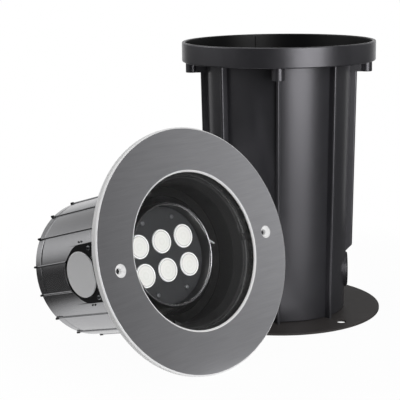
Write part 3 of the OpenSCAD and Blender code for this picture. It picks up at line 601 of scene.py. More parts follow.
PIP_SPOTS = [(spin(180 + side * PIP_TURN) @ Vector((PIP_FROM_R, 0, -PIP_DEPTH))) * MM for side in (-1, 1)]
tree = FINISHES["housing_paint"].node_tree
place = lamp_place(tree)
nearest = blend(tree, "MINIMUM", *(distance(tree, place, spot) for spot in PIP_SPOTS))
near_pips = blend(tree, "LESS_THAN", nearest, PIP_REACH * MM)
on_pips = blend(tree, "GREATER_THAN", from_axis(tree, place), PIP_FROM_R * MM)
pips = blend(tree, "MULTIPLY", near_pips, on_pips)
knobs = within(tree, place, "LESS_THAN", -KNOB_DEPTH, "GREATER_THAN", KNOB_FROM_R)
for black in (pips, knobs):
    overlay(tree, black, "#0c0c0d", roughness=0.5)

tree = FINISHES["canister_plastic"].node_tree
# Painted shade: the inside of the collar is drawn darker and duller than the rest of the canister.
collar_painted_shade = within(tree, own_place(tree), "GREATER_THAN", COLLAR_INSIDE_Z, "LESS_THAN", COLLAR_INSIDE_R)
overlay(tree, collar_painted_shade, "#0f0f10", roughness=0.38, specular_ior_level=0.35)

tree = FINISHES["liner_black"].node_tree
# Painted shade: the floor of the liner, deep in the recess, is drawn darker and duller than its wall.
liner_painted_shade = blend(tree, "LESS_THAN", height_of(tree, lamp_place(tree)), -LINER_FLOOR_DEPTH * MM)
overlay(tree, liner_painted_shade, "#060606", roughness=0.8, specular_ior_level=0.1)
print("finishes:", len(FINISHES))

# %% [markdown]
# ## Clean meshes
#
# Blender shades a mesh smooth or sharp edge by edge. A piece is smooth over its round parts, sharp at its
# corners, and its flat faces have to look flat, which the Weighted Normal modifier sees to.

# %% Helpers that finish a mesh
EDGE_ANGLE = math.radians(40)


def link(obj):
    """Puts an object in the scene and returns it."""
    scene.collection.objects.link(obj)
    return obj


def plain_mesh(obj, name):
    """The evaluated mesh of an object, with its modifiers applied, as a new object."""
    depsgraph = bpy.context.evaluated_depsgraph_get()
    mesh = bpy.data.meshes.new_from_object(obj.evaluated_get(depsgraph), depsgraph=depsgraph)
    mesh.name = name
    bpy.data.objects.remove(obj)
    return link(bpy.data.objects.new(name, mesh))


def polished(obj, name):
    """The plain mesh of an object, with crisp edges where it has corners and flat faces that look flat."""
    piece = plain_mesh(obj, name + "_raw")
    work = bmesh.new()
    work.from_mesh(piece.data)
    for face in work.faces:
        face.smooth = True
    for edge in work.edges:
        edge.smooth = edge.calc_face_angle(0) < EDGE_ANGLE
    work.to_mesh(piece.data)
    work.free()
    flatten = piece.modifiers.new("flatten", "WEIGHTED_NORMAL")
    flatten.weight = 100
    flatten.keep_sharp = True
    return plain_mesh(piece, name)


def settle(piece, slot, *nodes):
    """Gives a finished piece its material and its body, and hides the nodes that it stands for."""
    piece.data.materials.clear()
    piece.data.materials.append(FINISHES[slot])
    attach(piece, BODY_OF[nodes[0]])
    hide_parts(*nodes)
    print("%s: %d faces" % (piece.name, len(piece.data.polygons)))


print("an edge is sharp from %.0f degrees" % math.degrees(EDGE_ANGLE))

# %% [markdown]
# ## Rounded edges
#
# On a real moulding or casting every edge has a small radius, and it is this radius that catches the
# light as a thin bright line. A simple piece keeps the shape of its node: a Bevel modifier rounds a copy,
# whose loose triangles are merged first. The table gives each radius in millimetres.

# %% Simple pieces
BEVEL_STEPS, BEVEL_ANGLE = 2, math.radians(32)
MERGE_WITHIN, FLAT_ANGLE = 0.002, math.radians(0.4)
ROUNDING = {
    "base_plate": 0.4, "liner_clips": 0.2, "port_plate": 0.3, "port_disc": 0.15, "gland_body": 0.3,
    "gland_nut": 0.3, "gland_seal": 0.3, "tilt_pointer": 0.15, "lens_plate": 0.2,
    "conduit_bush_right": 0.3, "conduit_bush_left": 0.3, "gimbal_ring": 0.3, "heat_sink": 0.2
}


def bevelled(obj, radius):
    """Adds a Bevel modifier with a radius in millimetres, and returns the object."""
    bevel = obj.modifiers.new("round", "BEVEL")
    bevel.width = radius * MM
    bevel.segments = BEVEL_STEPS
    bevel.limit_method = "ANGLE"
    bevel.angle_limit = BEVEL_ANGLE
    bevel.miter_outer = "MITER_ARC"
    return obj


def rounded(node, radius):
    """A copy of a node with its edges rounded, in the node's place."""
    mesh = NODES[node].data.copy()
    work = bmesh.new()
    work.from_mesh(mesh)
    bmesh.ops.remove_doubles(work, verts=work.verts, dist=MERGE_WITHIN * MM)
    bmesh.ops.dissolve_limit(work, angle_limit=FLAT_ANGLE, verts=work.verts, edges=work.edges)
    work.to_mesh(mesh)
    work.free()
    copy = link(bpy.data.objects.new(node + "_sharp", mesh))
    settle(polished(bevelled(copy, radius), node + "_rounded"), SLOT_OF[node], node)


for node, radius in ROUNDING.items():
    rounded(node, radius)

# %% [markdown]
# ## Turned bodies
#
# Most of this light is turned: a closed outline goes round an axis. A Bevel could round such a piece
# too, but it follows the small facets, and its bright line then breaks up. So the outline gets its corners
# rounded first, and the soft edges are in the mesh, clean all the way round.

# %% Helpers for turned bodies
FINE, MEDIUM, CORNER_STEPS = 192, 48, 3


def softened(outline, radius, closed=True):
    """An outline with its corners rounded, as far as its short sides allow."""
    corners = [Vector(corner) for corner in outline]
    soft = []
    for i, corner in enumerate(corners):
        if not closed and i in (0, len(corners) - 1):
            soft.append(tuple(corner))
            continue
        before, after = corners[i - 1] - corner, corners[(i + 1) % len(corners)] - corner
        cut = min(radius, 0.45 * before.length, 0.45 * after.length)
        start, end = corner + cut * before.normalized(), corner + cut * after.normalized()
        for step in range(CORNER_STEPS + 1):
            t = step / CORNER_STEPS
            soft.append(tuple((1 - t) ** 2 * start + 2 * t * (1 - t) * corner + t * t * end))
    return soft


def skinned(name, rings, closed=False):
    """A closed body over rings of points in millimetres. A ring of one point is a pole."""
    work = bmesh.new()
    rings = [[work.verts.new(Vector(point) * MM) for point in ring] for ring in rings]
    count = max(len(ring) for ring in rings)
    for near, far in zip(rings, rings[1:] + (rings[:1] if closed else [])):
        for i in range(count):
            j = (i + 1) % count
            corners = [near[i % len(near)], far[i % len(far)], far[j % len(far)], near[j % len(near)]]
            work.faces.new(list(dict.fromkeys(corners)))
    if not closed:
        for ring in (rings[0], rings[-1]):
            if len(ring) > 1:
                work.faces.new(ring)
    bmesh.ops.recalc_face_normals(work, faces=work.faces)
    mesh = bpy.data.meshes.new(name)
    work.to_mesh(mesh)
    work.free()
    return link(bpy.data.objects.new(name, mesh))


def turned(name, outline, steps=FINE, closed=False, axis=-1):
    """An outline of (radius, distance, sides) turned about z. The distance runs down the z axis, as a
    depth behind the lamp's face does, or up it where axis is 1. A ring with sides is a polygon."""
    rings = []
    for radius, distance, *sides in outline:
        ring = []
        for i in range(steps if radius > 0 else 1):
            angle = math.tau * i / steps
            reach = radius
            if sides:
                half = math.pi / sides[0]
                reach = radius * math.cos(half) / math.cos(angle % (2 * half) - half)
            ring.append((reach * math.cos(angle), reach * math.sin(angle), axis * distance))
        rings.append(ring)
    return skinned(name, rings, closed)


def plug(radius, start, end, axis=-1):
    """A plain cylinder between two distances along the z axis, to cut a hole with."""
    return turned("plug", [(0, start), (radius, start), (radius, end), (0, end)], MEDIUM, axis=axis)


print("steps round a fine circle:", FINE)


# %% Helpers that move, join and cut
def moved(obj, *matrices):
    """Moves the points of an object's mesh, and returns the object."""
    for matrix in matrices:
        obj.data.transform(matrix)
    return obj


def shift(x=0, y=0, z=0):
    """A move in millimetres, as a matrix."""
    return Matrix.Translation(Vector((x, y, z)) * MM)


def places_round(count, start=0):
    """The turns in degrees of places that are spread evenly round an axis."""
    return [start + i * 360 / count for i in range(count)]


def joined(name, *objects):
    """One object from several, each of which keeps its own closed surface."""
    work = bmesh.new()
    for obj in objects:
        work.from_mesh(obj.data)
        bpy.data.objects.remove(obj)
    mesh = bpy.data.meshes.new(name)
    work.to_mesh(mesh)
    work.free()
    return link(bpy.data.objects.new(name, mesh))


def bored(obj, name, *cutters):
    """An object with other closed bodies cut out of it."""
    for cutter in cutters:
        cut = obj.modifiers.new("bore", "BOOLEAN")
        cut.object = cutter
        cut.operation = "DIFFERENCE"
        cut.solver = "EXACT"
    result = plain_mesh(obj, name)
    for cutter in cutters:
        bpy.data.objects.remove(cutter)
    return result


print("four places round an axis:", places_round(4))

# %% [markdown]
# ## What repeats
#
# Ribs, lugs, lenses and screws repeat. Each is drawn once, and a Geometry Nodes tree sets it out: one tree
# in rows, one round an axis, and one that builds the whole ribbed canister. A tree ends in Realize
# Instances, so that what leaves it is one plain mesh.


# %% Helpers for trees that set a piece out
def empty_tree(name, sizes):
    """A Geometry Nodes tree with a geometry in and out, named inputs for sizes and one for a material."""
    tree = bpy.data.node_groups.new(name, "GeometryNodeTree")
    tree.interface.new_socket("Geometry", in_out="OUTPUT", socket_type="NodeSocketGeometry")
    tree.interface.new_socket("Piece", in_out="INPUT", socket_type="NodeSocketGeometry")
    for label, kind in sizes.items():
        tree.interface.new_socket(label, in_out="INPUT", socket_type=kind)
    tree.interface.new_socket("Material", in_out="INPUT", socket_type="NodeSocketMaterial")
    return tree, tree.nodes.new("NodeGroupInput").outputs


def close_tree(tree, given, instances):
    """Makes instances real and gives them their material."""
    real = add(tree, "GeometryNodeRealizeInstances", {0: instances}).outputs[0]
    dressed = add(tree, "GeometryNodeSetMaterial", {"Geometry": real, "Material": given["Material"]})
    add(tree, "NodeGroupOutput", {0: dressed.outputs[0]})
    print("tree:", tree.name, len(tree.nodes), "nodes")


def turns_of(tree, count, start=0.0):
    """Points on the axis, their number, and for each the rotation of its place round the axis."""
    points = add(tree, "GeometryNodePoints", {"Count": count}).outputs[0]
    index = add(tree, "GeometryNodeInputIndex").outputs[0]
    step = blend(tree, "DIVIDE", math.tau, count)
    angle = blend(tree, "ADD", blend(tree, "MULTIPLY", index, step), start)
    return points, index, add(tree, "ShaderNodeCombineXYZ", {"Z": angle}).outputs[0]


def on_points(tree, points, piece, rotation=(0, 0, 0), chosen=True):
    """Instances of a piece on the chosen points."""
    return add(tree, "GeometryNodeInstanceOnPoints", {"Points": points, "Instance": piece,
                                                      "Rotation": rotation, "Selection": chosen}).outputs[0]


def set_out(piece, tree, name, slot, **sizes):
    """Runs a tree on a piece and returns the plain mesh."""
    modifier = piece.modifiers.new("set_out", "NODES")
    modifier.node_group = tree
    sockets = {item.name: item.identifier for item in tree.interface.items_tree if item.in_out == "INPUT"}
    for label, value in {**sizes, "Material": FINISHES[slot]}.items():
        modifier[sockets[label.replace("_", " ")]] = value
    return plain_mesh(piece, name)


print("helpers for trees ready")

# %% Trees for rows and for places round an axis
rows_tree, given = empty_tree("in_rows", {"Columns": "NodeSocketInt", "Rows": "NodeSocketInt",
                                          "Width": "NodeSocketFloat", "Height": "NodeSocketFloat"})
grid = add(rows_tree, "GeometryNodeMeshGrid", {"Size X": given["Width"], "Size Y": given["Height"],
                                               "Vertices X": given["Columns"], "Vertices Y": given["Rows"]})
close_tree(rows_tree, given, on_points(rows_tree, grid.outputs[0], given["Piece"]))

round_tree, given = empty_tree("round_an_axis", {"Count": "NodeSocketInt", "Start": "NodeSocketFloat"})
points, _, rotation = turns_of(round_tree, given["Count"], given["Start"])
close_tree(round_tree, given, on_points(round_tree, points, given["Piece"], rotation))

# %% [markdown]
# ## Canister
#
# The main piece follows a rule: a turned shell with eight ribs round it, of which every fourth stops above
# a conduit entry, and four lugs under the collar. One tree holds that rule. Where a rib's number divides
# by Short Every, the tree sets out the short rib instead of the long one.

# %% Tree for the ribbed canister
sleeve_tree, given = empty_tree("ribbed_sleeve", {
    "Rib": "NodeSocketObject", "Short Rib": "NodeSocketObject", "Lug": "NodeSocketObject",
    "Ribs": "NodeSocketInt", "Short Every": "NodeSocketInt", "Lugs": "NodeSocketInt"})
points, index, rotation = turns_of(sleeve_tree, given["Ribs"])
is_long = blend(sleeve_tree, "MODULO", index, given["Short Every"])
is_short = blend(sleeve_tree, "LESS_THAN", is_long, 0.5)
lug_points, _, lug_rotation = turns_of(sleeve_tree, given["Lugs"])
shape = {label: add(sleeve_tree, "GeometryNodeObjectInfo", {"Object": given[label]}).outputs["Geometry"]
         for label in ("Rib", "Short Rib", "Lug")}
sleeve = add(sleeve_tree, "GeometryNodeJoinGeometry")
for part in (on_points(sleeve_tree, lug_points, shape["Lug"], lug_rotation),
             on_points(sleeve_tree, points, shape["Short Rib"], rotation, is_short),
             on_points(sleeve_tree, points, shape["Rib"], rotation, is_long), given["Piece"]):
    sleeve_tree.links.new(part, sleeve.inputs[0])
close_tree(sleeve_tree, given, sleeve.outputs[0])

# %% [markdown]
# The shell is one outline that is turned, then bored for the two conduits and the four inserts. The
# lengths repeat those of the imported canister, in millimetres. A cutter reaches PAST a face that it cuts.

# %% Canister's shell
PLATE_T, CANISTER_H = 2.0, 276.0
COLLAR_R, COLLAR_H, COLLAR_WALL, SHELF_T = 97.0, 19.5, 3.4, 3.0
BARREL_TOP_R, BARREL_BASE_R, BARREL_WALL, FLOOR_T, DRAIN_R = 72.0, 67.5, 2.6, 3.0, 12.5
SCREW_R, INSERT_R, INSERT_H, LUGS = 87.5, 3.5, 9.0, 4
CONDUIT_Z, BUSH_R, BOSS_R, BOSS_ROOT, BOSS_OUT = 40.0, 14.1, 18.5, 62.9, 1.3
CONDUITS, CONDUIT_FROM, CONDUIT_TO = 2, 50, 80
KEY_TURN, KEY_W, KEY_OUT, KEY_SET = 105, 2.5, 1.2, 2.0
MOULD_R, BOSS_EDGE, BLOCK_EDGE, PAST = 1.2, 0.6, 0.3, 1
shelf_z = CANISTER_H - COLLAR_H
shelf_top = shelf_z + SHELF_T
collar_bore_r = COLLAR_R - COLLAR_WALL


def barrel_r(z):
    """Outer radius of the tapered barrel at a height."""
    return BARREL_BASE_R + (BARREL_TOP_R - BARREL_BASE_R) * (z - PLATE_T) / (shelf_z - PLATE_T)


def box_at(name, low, high):
    """A block between two corners with slightly rounded edges."""
    rings = [[(low[0], low[1], z), (high[0], low[1], z), (high[0], high[1], z), (low[0], high[1], z)]
             for z in (low[2], high[2])]
    return plain_mesh(bevelled(skinned(name, rings), BLOCK_EDGE), name)


def at_conduits(make):
    """A body for each conduit entry, laid on its side at the entry's place."""
    return [moved(make(), spin(90, "Y"), shift(z=CONDUIT_Z), spin(turn)) for turn in places_round(CONDUITS)]


shell = turned("shell", softened([
    (DRAIN_R, PLATE_T), (BARREL_BASE_R, PLATE_T), (BARREL_TOP_R, shelf_z), (COLLAR_R, shelf_z),
    (COLLAR_R, CANISTER_H), (collar_bore_r, CANISTER_H), (collar_bore_r, shelf_top),
    (BARREL_TOP_R - BARREL_WALL, shelf_top), (BARREL_BASE_R - BARREL_WALL, PLATE_T + FLOOR_T),
    (DRAIN_R, PLATE_T + FLOOR_T)], MOULD_R), closed=True, axis=1)
side_bores = at_conduits(lambda: plug(BUSH_R + PAST, CONDUIT_FROM, CONDUIT_TO, axis=1))
insert_bores = [moved(plug(INSERT_R, shelf_z - PAST, shelf_top + PAST, axis=1), shift(x=SCREW_R), spin(turn))
                for turn in places_round(LUGS)]
shell = bored(shell, "bored_shell", *side_bores, *insert_bores)
boss_face = barrel_r(CONDUIT_Z) + BOSS_OUT
boss_outline = softened([(BUSH_R, BOSS_ROOT), (BOSS_R, BOSS_ROOT), (BOSS_R, boss_face), (BUSH_R, boss_face)],
                        BOSS_EDGE)
bosses = at_conduits(lambda: turned("boss", boss_outline, MEDIUM, closed=True, axis=1))
key = moved(box_at("key", (collar_bore_r - KEY_OUT, -KEY_W / 2, shelf_top - PAST),
                   (collar_bore_r + PAST, KEY_W / 2, CANISTER_H - KEY_SET)), spin(KEY_TURN))
shell = joined("shell", shell, *bosses, key)
print("canister's shell: %d points" % len(shell.data.vertices))

# %% [markdown]
# A rib has a round nose, because a mould has no sharp corners, and that nose shows as a bright upright
# line. A bevelled block would have one too, but its root has to follow the barrel's taper. So a rib is a
# skin over two or three sections. The short rib ends in a slope of 45 degrees.

# %% Canister's ribs and lugs
RIB_W, RIB_OUT, RIBS, SHORT_EVERY, RIB_ROOT, NOSE_STEPS = 3.5, 7.0, 8, 4, 1.0, 8
LUG_R, LUG_H, LUG_WEB, LUG_EDGE = 6.2, 12.0, 8.0, 0.5
RIB_SUNK, SLOPE_START = 0.5, 0.3


def rib(name, wall_r, width, stations, axis=-1):
    """A rib along the z axis on the +x side. It has a round nose, and at each station, a distance and a
    height over the wall, its section follows the wall's radius. Its root is sunk in the wall."""
    turns = [math.pi * (i / NOSE_STEPS - 0.5) for i in range(NOSE_STEPS + 1)]
    rings = []
    for distance, height in stations:
        inner, tip = wall_r(distance) - RIB_ROOT, wall_r(distance) + height
        nose = [(tip - width / 2 * (1 - math.cos(turn)), width / 2 * math.sin(turn)) for turn in turns]
        section = [(inner, -width / 2), *nose, (inner, width / 2)]
        rings.append([(x, y, axis * distance) for x, y in section])
    return skinned(name, rings)


rib_top = (shelf_z + RIB_SUNK, RIB_OUT)
slope_z = CONDUIT_Z + BOSS_R
long_rib = rib("long_rib", barrel_r, RIB_W, [(PLATE_T, RIB_OUT), rib_top], axis=1)
short_rib = rib("short_rib", barrel_r, RIB_W, [
    (slope_z, SLOPE_START), (slope_z + RIB_OUT, RIB_OUT), rib_top], axis=1)
stud = turned("stud", softened([
    (0, shelf_z - LUG_H), (LUG_R, shelf_z - LUG_H), (LUG_R, shelf_top), (INSERT_R, shelf_top),
    (INSERT_R, shelf_top - INSERT_H), (0, shelf_top - INSERT_H)], LUG_EDGE, closed=False), MEDIUM, axis=1)
web = box_at("web", (BARREL_TOP_R - PAST, -LUG_WEB / 2, shelf_z - LUG_H),
             (SCREW_R, LUG_WEB / 2, shelf_z + PAST))
lug = joined("lug", moved(stud, shift(x=SCREW_R)), web)
canister = set_out(shell, sleeve_tree, "canister_sleeve", "canister_plastic", Rib=long_rib,
                   Short_Rib=short_rib, Lug=lug, Ribs=RIBS, Short_Every=SHORT_EVERY, Lugs=LUGS)
for helper in (long_rib, short_rib, lug):
    bpy.data.objects.remove(helper)
settle(polished(canister, "canister_body"), "canister_plastic", "canister")

# %% [markdown]
# ## Cover ring and glass
#
# The ring, the housing, the cap, the liner, the cup and the glass are turned about the light's axis. They
# are drawn with the face at z = 0, as radius and depth, and the matrix LAMP lays them where the lamp is.
# The ring's face is flat steel with a narrow bevel at both edges and a countersink at each side.

# %% Cover ring, glass and gasket
RING_BORE_R, RING_BEVEL, RING_EDGE, LIP_T, SEAT_R = 70.0, 1.2, 0.3, 2.5, 74.2
HOLE_R, HEAD_R = 2.75, 5.75
GLASS_R, GLASS_FRONT, GLASS_REAR, GLASS_EDGE = 72.2, 3.0, 9.0, 0.4
SIGHT_R, SEAT_DEPTH, GASKET_SET, GASKET_EDGE = 68.0, 10.0, 0.3, 0.2


def settle_in_lamp(body, name, slot, *nodes):
    """Polishes a body, lays it where the lamp is, and settles it there."""
    settle(moved(polished(body, name), LAMP), slot, *nodes)


ring = turned("ring", softened([
    (RING_BORE_R, RING_BEVEL), (RING_BORE_R + RING_BEVEL, 0), (RING_R - RING_BEVEL, 0), (RING_R, RING_BEVEL),
    (RING_R, RING_T), (SEAT_R, RING_T), (SEAT_R, LIP_T), (RING_BORE_R, LIP_T)], RING_EDGE), closed=True)
sink_outline = [(0, -PAST), (HEAD_R + PAST, -PAST), (HOLE_R, HEAD_R - HOLE_R), (HOLE_R, RING_T + PAST),
                (0, RING_T + PAST)]
sinks = [moved(turned("sink", sink_outline, MEDIUM), shift(x=side * SCREW_R)) for side in (-1, 1)]
settle_in_lamp(bored(ring, "bored_ring", *sinks), "cover_ring_turned", "ring_stainless", "cover_ring")

pane = turned("pane", softened([(0, GLASS_FRONT), (GLASS_R, GLASS_FRONT), (GLASS_R, GLASS_REAR),
                                (0, GLASS_REAR)], GLASS_EDGE, closed=False))
settle_in_lamp(pane, "glass_pane", "clear_glass", "glass")

gasket_bore_r = RING_BORE_R + GASKET_SET
gasket = turned("gasket", softened([
    (gasket_bore_r, LIP_T), (SEAT_R, LIP_T), (SEAT_R, SEAT_DEPTH), (SIGHT_R, SEAT_DEPTH),
    (SIGHT_R, GLASS_REAR), (GLASS_R, GLASS_REAR), (GLASS_R, GLASS_FRONT), (gasket_bore_r, GLASS_FRONT)],
    GASKET_EDGE), closed=True)
settle_in_lamp(gasket, "gasket_ring", "seal_rubber", "glass_gasket")

# %% [markdown]
# ## Housing
#
# The housing is a tapered casting with fifteen low ribs. A pocket for the side port is cut through shell
# and ribs, from the box of the port's plate, and four small pips stand beside it. Where the housing meets
# the cap, both edges are cut back a little, so a thin V seam runs round.

# %% Housing
FLANGE_R, NECK_R, HOUSE_FRONT_R, HOUSE_REAR_R = 81.5, 74.5, 67.2, 64.9
FLANGE_REAR, SIGHT_END, NECK_END, HOUSE_START, HOUSE_END, LAMP_END = 11.0, 14, 17.0, 22.0, 148.0, 158.0
GIMBAL_BORE_R, DRIVER_BORE_R, BEND_DEPTH, TRACK_END = 64.4, 62.4, 22.7, 59.5
LAMP_RIBS, LAMP_RIB_W, LAMP_RIB_OUT = 15, 2.0, 1.1
CAST_R, SEAM, PORT_FROM, PORT_TO, PORT_GAP = 0.8, 1.2, 60.0, 113.0, 0.1
PIP_R, PIP_OUT, PIP_STEP, PIP_EDGE, PIP_EDGES = 0.9, 0.8, 2.0, 0.4, 16
# Finer than the other circles, so that the pocket's cut edge stays clean.
HOUSE_STEPS = 320
rib_start = math.pi + math.pi / LAMP_RIBS


def house_r(depth):
    """Outer radius of the tapered housing at a depth."""
    along = (depth - HOUSE_START) / (HOUSE_END - HOUSE_START)
    return HOUSE_FRONT_R + (HOUSE_REAR_R - HOUSE_FRONT_R) * along


def port_cutter():
    """The pocket of the side port's plate, from its box and its round rear end."""
    low, high = lamp_box("port_plate")
    half = (high.y - low.y) / 2 / MM + PORT_GAP
    front, rear, floor_r = -high.z / MM, -low.z / MM, -high.x / MM
    middle = rear + PORT_GAP - half
    turns = [math.pi * (i / MEDIUM - 0.5) for i in range(MEDIUM + 1)]
    rear_end = [(middle + half * math.cos(turn), half * math.sin(turn)) for turn in turns]
    outline = [(front, -half), *rear_end, (front, half)]
    return skinned("pocket", [[(x, y, -depth) for depth, y in outline] for x in (-floor_r, -RING_R)])


shell = turned("housing_shell", softened([
    (SEAT_R, RING_T), (FLANGE_R, RING_T), (FLANGE_R, FLANGE_REAR), (NECK_R, FLANGE_REAR), (NECK_R, NECK_END),
    (HOUSE_FRONT_R, HOUSE_START), (house_r(PORT_FROM), PORT_FROM), (house_r(PORT_TO), PORT_TO),
    (HOUSE_REAR_R, HOUSE_END - SEAM), (HOUSE_REAR_R - SEAM, HOUSE_END), (DRIVER_BORE_R, HOUSE_END),
    (DRIVER_BORE_R, TRACK_END), (GIMBAL_BORE_R, TRACK_END), (GIMBAL_BORE_R, BEND_DEPTH),
    (SIGHT_R, SIGHT_END), (SIGHT_R, SEAT_DEPTH), (SEAT_R, SEAT_DEPTH)], CAST_R), HOUSE_STEPS, closed=True)
house_rib = rib("house_rib", house_r, LAMP_RIB_W, [(HOUSE_START - PAST, LAMP_RIB_OUT),
                                                   (HOUSE_END, LAMP_RIB_OUT)])
ribs = set_out(house_rib, round_tree, "house_ribs", "housing_paint", Count=LAMP_RIBS, Start=rib_start)
shell = bored(shell, "cut_shell", port_cutter())
ribs = bored(ribs, "cut_ribs", port_cutter())
pip_foot, pip_top = house_r(PIP_DEPTH) - PAST, house_r(PIP_DEPTH) + PIP_OUT
pip_outline = softened([(0, pip_foot), (PIP_R, pip_foot), (PIP_R, pip_top), (0, pip_top)], PIP_EDGE,
                       closed=False)
pips = [moved(turned("pip", pip_outline, PIP_EDGES, axis=1), spin(90, "Y"), shift(z=step - PIP_DEPTH),
              spin(180 + side * PIP_TURN)) for side in (-1, 1) for step in (-PIP_STEP, PIP_STEP)]
settle_in_lamp(joined("housing_joined", shell, ribs, *pips), "housing_body", "housing_paint", "housing")

# %% [markdown]
# ## Rear cap
#
# The cap plugs the housing with a spigot that holds the seal. Three screws go through it, and the cable
# gland stands in its own hole. Each housing rib runs on over the cap's rim and ends in a small knob. A
# screw's head and socket are shares of its thread's diameter.

# %% Rear cap
CAP_RIM_R, SPIGOT_R, SPIGOT_BORE_R, SPIGOT_L, CAP_FLOOR_T = 64.5, 62.3, 59.6, 5.0, 4.0
SEAL_R, SEAL_FRONT, SEAL_REAR = 60.6, 144.4, 146.8
KNOB_OUT, KNOB_L = 0.6, 4.0
SCREW_HEAD_R, SCREW_HEAD_T, SCREW_SOCKET_R, SCREW_GAP = 0.9, 0.6, 0.4, 0.1
CAP_SCREW_D, CAP_SCREWS, CAP_SCREW_TURN = 4.0, 3, 30
GLAND_R, GLAND_Y, GLAND_FROM = 10.1, 36.0, 150

cap_floor = LAMP_END - CAP_FLOOR_T
spigot_front = HOUSE_END - SPIGOT_L
cap = turned("cap_shell", softened([
    (0, cap_floor), (SPIGOT_BORE_R, cap_floor), (SPIGOT_BORE_R, spigot_front), (SPIGOT_R, spigot_front),
    (SPIGOT_R, SEAL_FRONT), (SEAL_R, SEAL_FRONT), (SEAL_R, SEAL_REAR), (SPIGOT_R, SEAL_REAR),
    (SPIGOT_R, HOUSE_END), (CAP_RIM_R - SEAM, HOUSE_END), (CAP_RIM_R, HOUSE_END + SEAM),
    (CAP_RIM_R, LAMP_END), (0, LAMP_END)], CAST_R, closed=False))
cap_screw_r = lamp_reach("cap_screws") - SCREW_HEAD_R * CAP_SCREW_D
shank_bore_r = CAP_SCREW_D / 2 + SCREW_GAP
head_bore_r = SCREW_HEAD_R * CAP_SCREW_D + SCREW_GAP
head_depth = LAMP_END - SCREW_HEAD_T * CAP_SCREW_D
bore_outline = [(0, SEAL_FRONT), (shank_bore_r, SEAL_FRONT), (shank_bore_r, head_depth),
                (head_bore_r, head_depth), (head_bore_r, LAMP_END + PAST), (0, LAMP_END + PAST)]
screw_bores = [moved(turned("bore", bore_outline, MEDIUM), shift(x=cap_screw_r), spin(turn))
               for turn in places_round(CAP_SCREWS, CAP_SCREW_TURN)]
gland_bore = moved(plug(GLAND_R, GLAND_FROM, LAMP_END + PAST), shift(y=GLAND_Y))
cap = bored(cap, "bored_cap", *screw_bores, gland_bore)
low_out = HOUSE_REAR_R - CAP_RIM_R + LAMP_RIB_OUT
high_out = low_out + KNOB_OUT
knob = rib("knob", lambda depth: CAP_RIM_R, LAMP_RIB_W, [
    (HOUSE_END, low_out), (LAMP_END - KNOB_L, low_out), (LAMP_END - KNOB_L + KNOB_OUT, high_out),
    (LAMP_END, high_out)])
knobs = set_out(knob, round_tree, "cap_knobs", "housing_paint", Count=LAMP_RIBS, Start=rib_start)
settle_in_lamp(joined("cap_joined", cap, knobs), "rear_cap_body", "housing_paint", "rear_cap")

# %% [markdown]
# ## Liner and cup
#
# The liner is the dark wall of the recess. It follows the housing's bore round its bend and closes in
# towards the cup. The cup holds the plate with the lenses, and its narrow front rim is the bright arc
# that is seen round them. Two bosses at its sides turn on the pivot pins.

# %% Liner and cup
LINER_FRONT, LINER_REAR, LINER_WALL, LINER_HOLE_R = 13.5, 44.0, 1.8, 54.0
LINER_EDGE, LINER_GAP, LINER_LIP, LINER_FLOOR_T = 0.5, 0.1, 0.5, 1.5
CUP_R, CUP_BORE_R, CUP_FRONT, CUP_REAR, CUP_EDGE, CUP_BEVEL = 47.5, 45.0, 34.5, 58.5, 0.7, 0.9
CUP_FLOOR, LEDGE_DEPTH, LEDGE_R, CUP_CORNER = 55.1, 48.9, 43.0, 0.6
TILT_DEPTH, PIN_BORE_R, PIVOT_BOSS_R, PIVOT_BOSS_END, PIVOT_EDGE = 50.5, 2.1, 5.0, 54.0, 0.3

wide_r, deep_r = SIGHT_R - LINER_GAP, GIMBAL_BORE_R - LINER_GAP
floor_front = LINER_REAR - LINER_FLOOR_T
liner = turned("liner_wall", softened([
    (wide_r - LINER_WALL, LINER_FRONT), (wide_r, LINER_FRONT), (wide_r, LINER_FRONT + LINER_LIP),
    (deep_r, BEND_DEPTH), (deep_r, LINER_REAR), (LINER_HOLE_R, LINER_REAR), (LINER_HOLE_R, floor_front),
    (deep_r - LINER_WALL, floor_front), (deep_r - LINER_WALL, BEND_DEPTH)], LINER_EDGE), closed=True)
settle_in_lamp(liner, "liner_turned", "liner_black", "liner")

cup = turned("cup_wall", softened([
    (0, CUP_REAR), (CUP_R, CUP_REAR), (CUP_R, CUP_FRONT + CUP_EDGE), (CUP_R - CUP_EDGE, CUP_FRONT),
    (CUP_BORE_R + CUP_BEVEL, CUP_FRONT), (CUP_BORE_R, CUP_FRONT + CUP_BEVEL), (CUP_BORE_R, LEDGE_DEPTH),
    (LEDGE_R, LEDGE_DEPTH), (LEDGE_R, CUP_FLOOR), (0, CUP_FLOOR)], CUP_CORNER, closed=False))
pivot_outline = softened([(PIN_BORE_R, CUP_R - PAST), (PIVOT_BOSS_R, CUP_R - PAST),
                          (PIVOT_BOSS_R, PIVOT_BOSS_END), (PIN_BORE_R, PIVOT_BOSS_END)], PIVOT_EDGE)
pivot_bosses = [moved(turned("pivot_boss", pivot_outline, MEDIUM, closed=True, axis=1), spin(90, "Y"),
                      shift(z=-TILT_DEPTH), spin(turn)) for turn in (0, 180)]
settle_in_lamp(joined("cup_joined", cup, *pivot_bosses), "led_cup_body", "cup_anodised", "led_cup")

# %% [markdown]
# ## Lenses
#
# A lens here is a disc of clear acrylic that looks white, because it scatters the light over fine ridges
# round its centre. Bump could fake the ridges, but six small discs can have them in the mesh, where a
# light from the side picks out their edges. Each point also keeps how far out it lies, as a share of the
# radius, for the rings of painted shade and highlight in the finish.

# %% Lenses
LENS_RIDGES, RIDGE_DEPTH, RIDGE_TOP, LENS_LIP, LENS_FOOT_R = 5, 0.35, 0.1, 1.3, 3.6
LIP_SLOPE, LENS_BEVEL, PLATE_GAP = 0.2, 0.4, 0.1
LENS_COLUMNS, LENS_ROWS = 3, 2
LENS_NODES = ["lens_%d" % (i + 1) for i in range(LENS_COLUMNS * LENS_ROWS)]

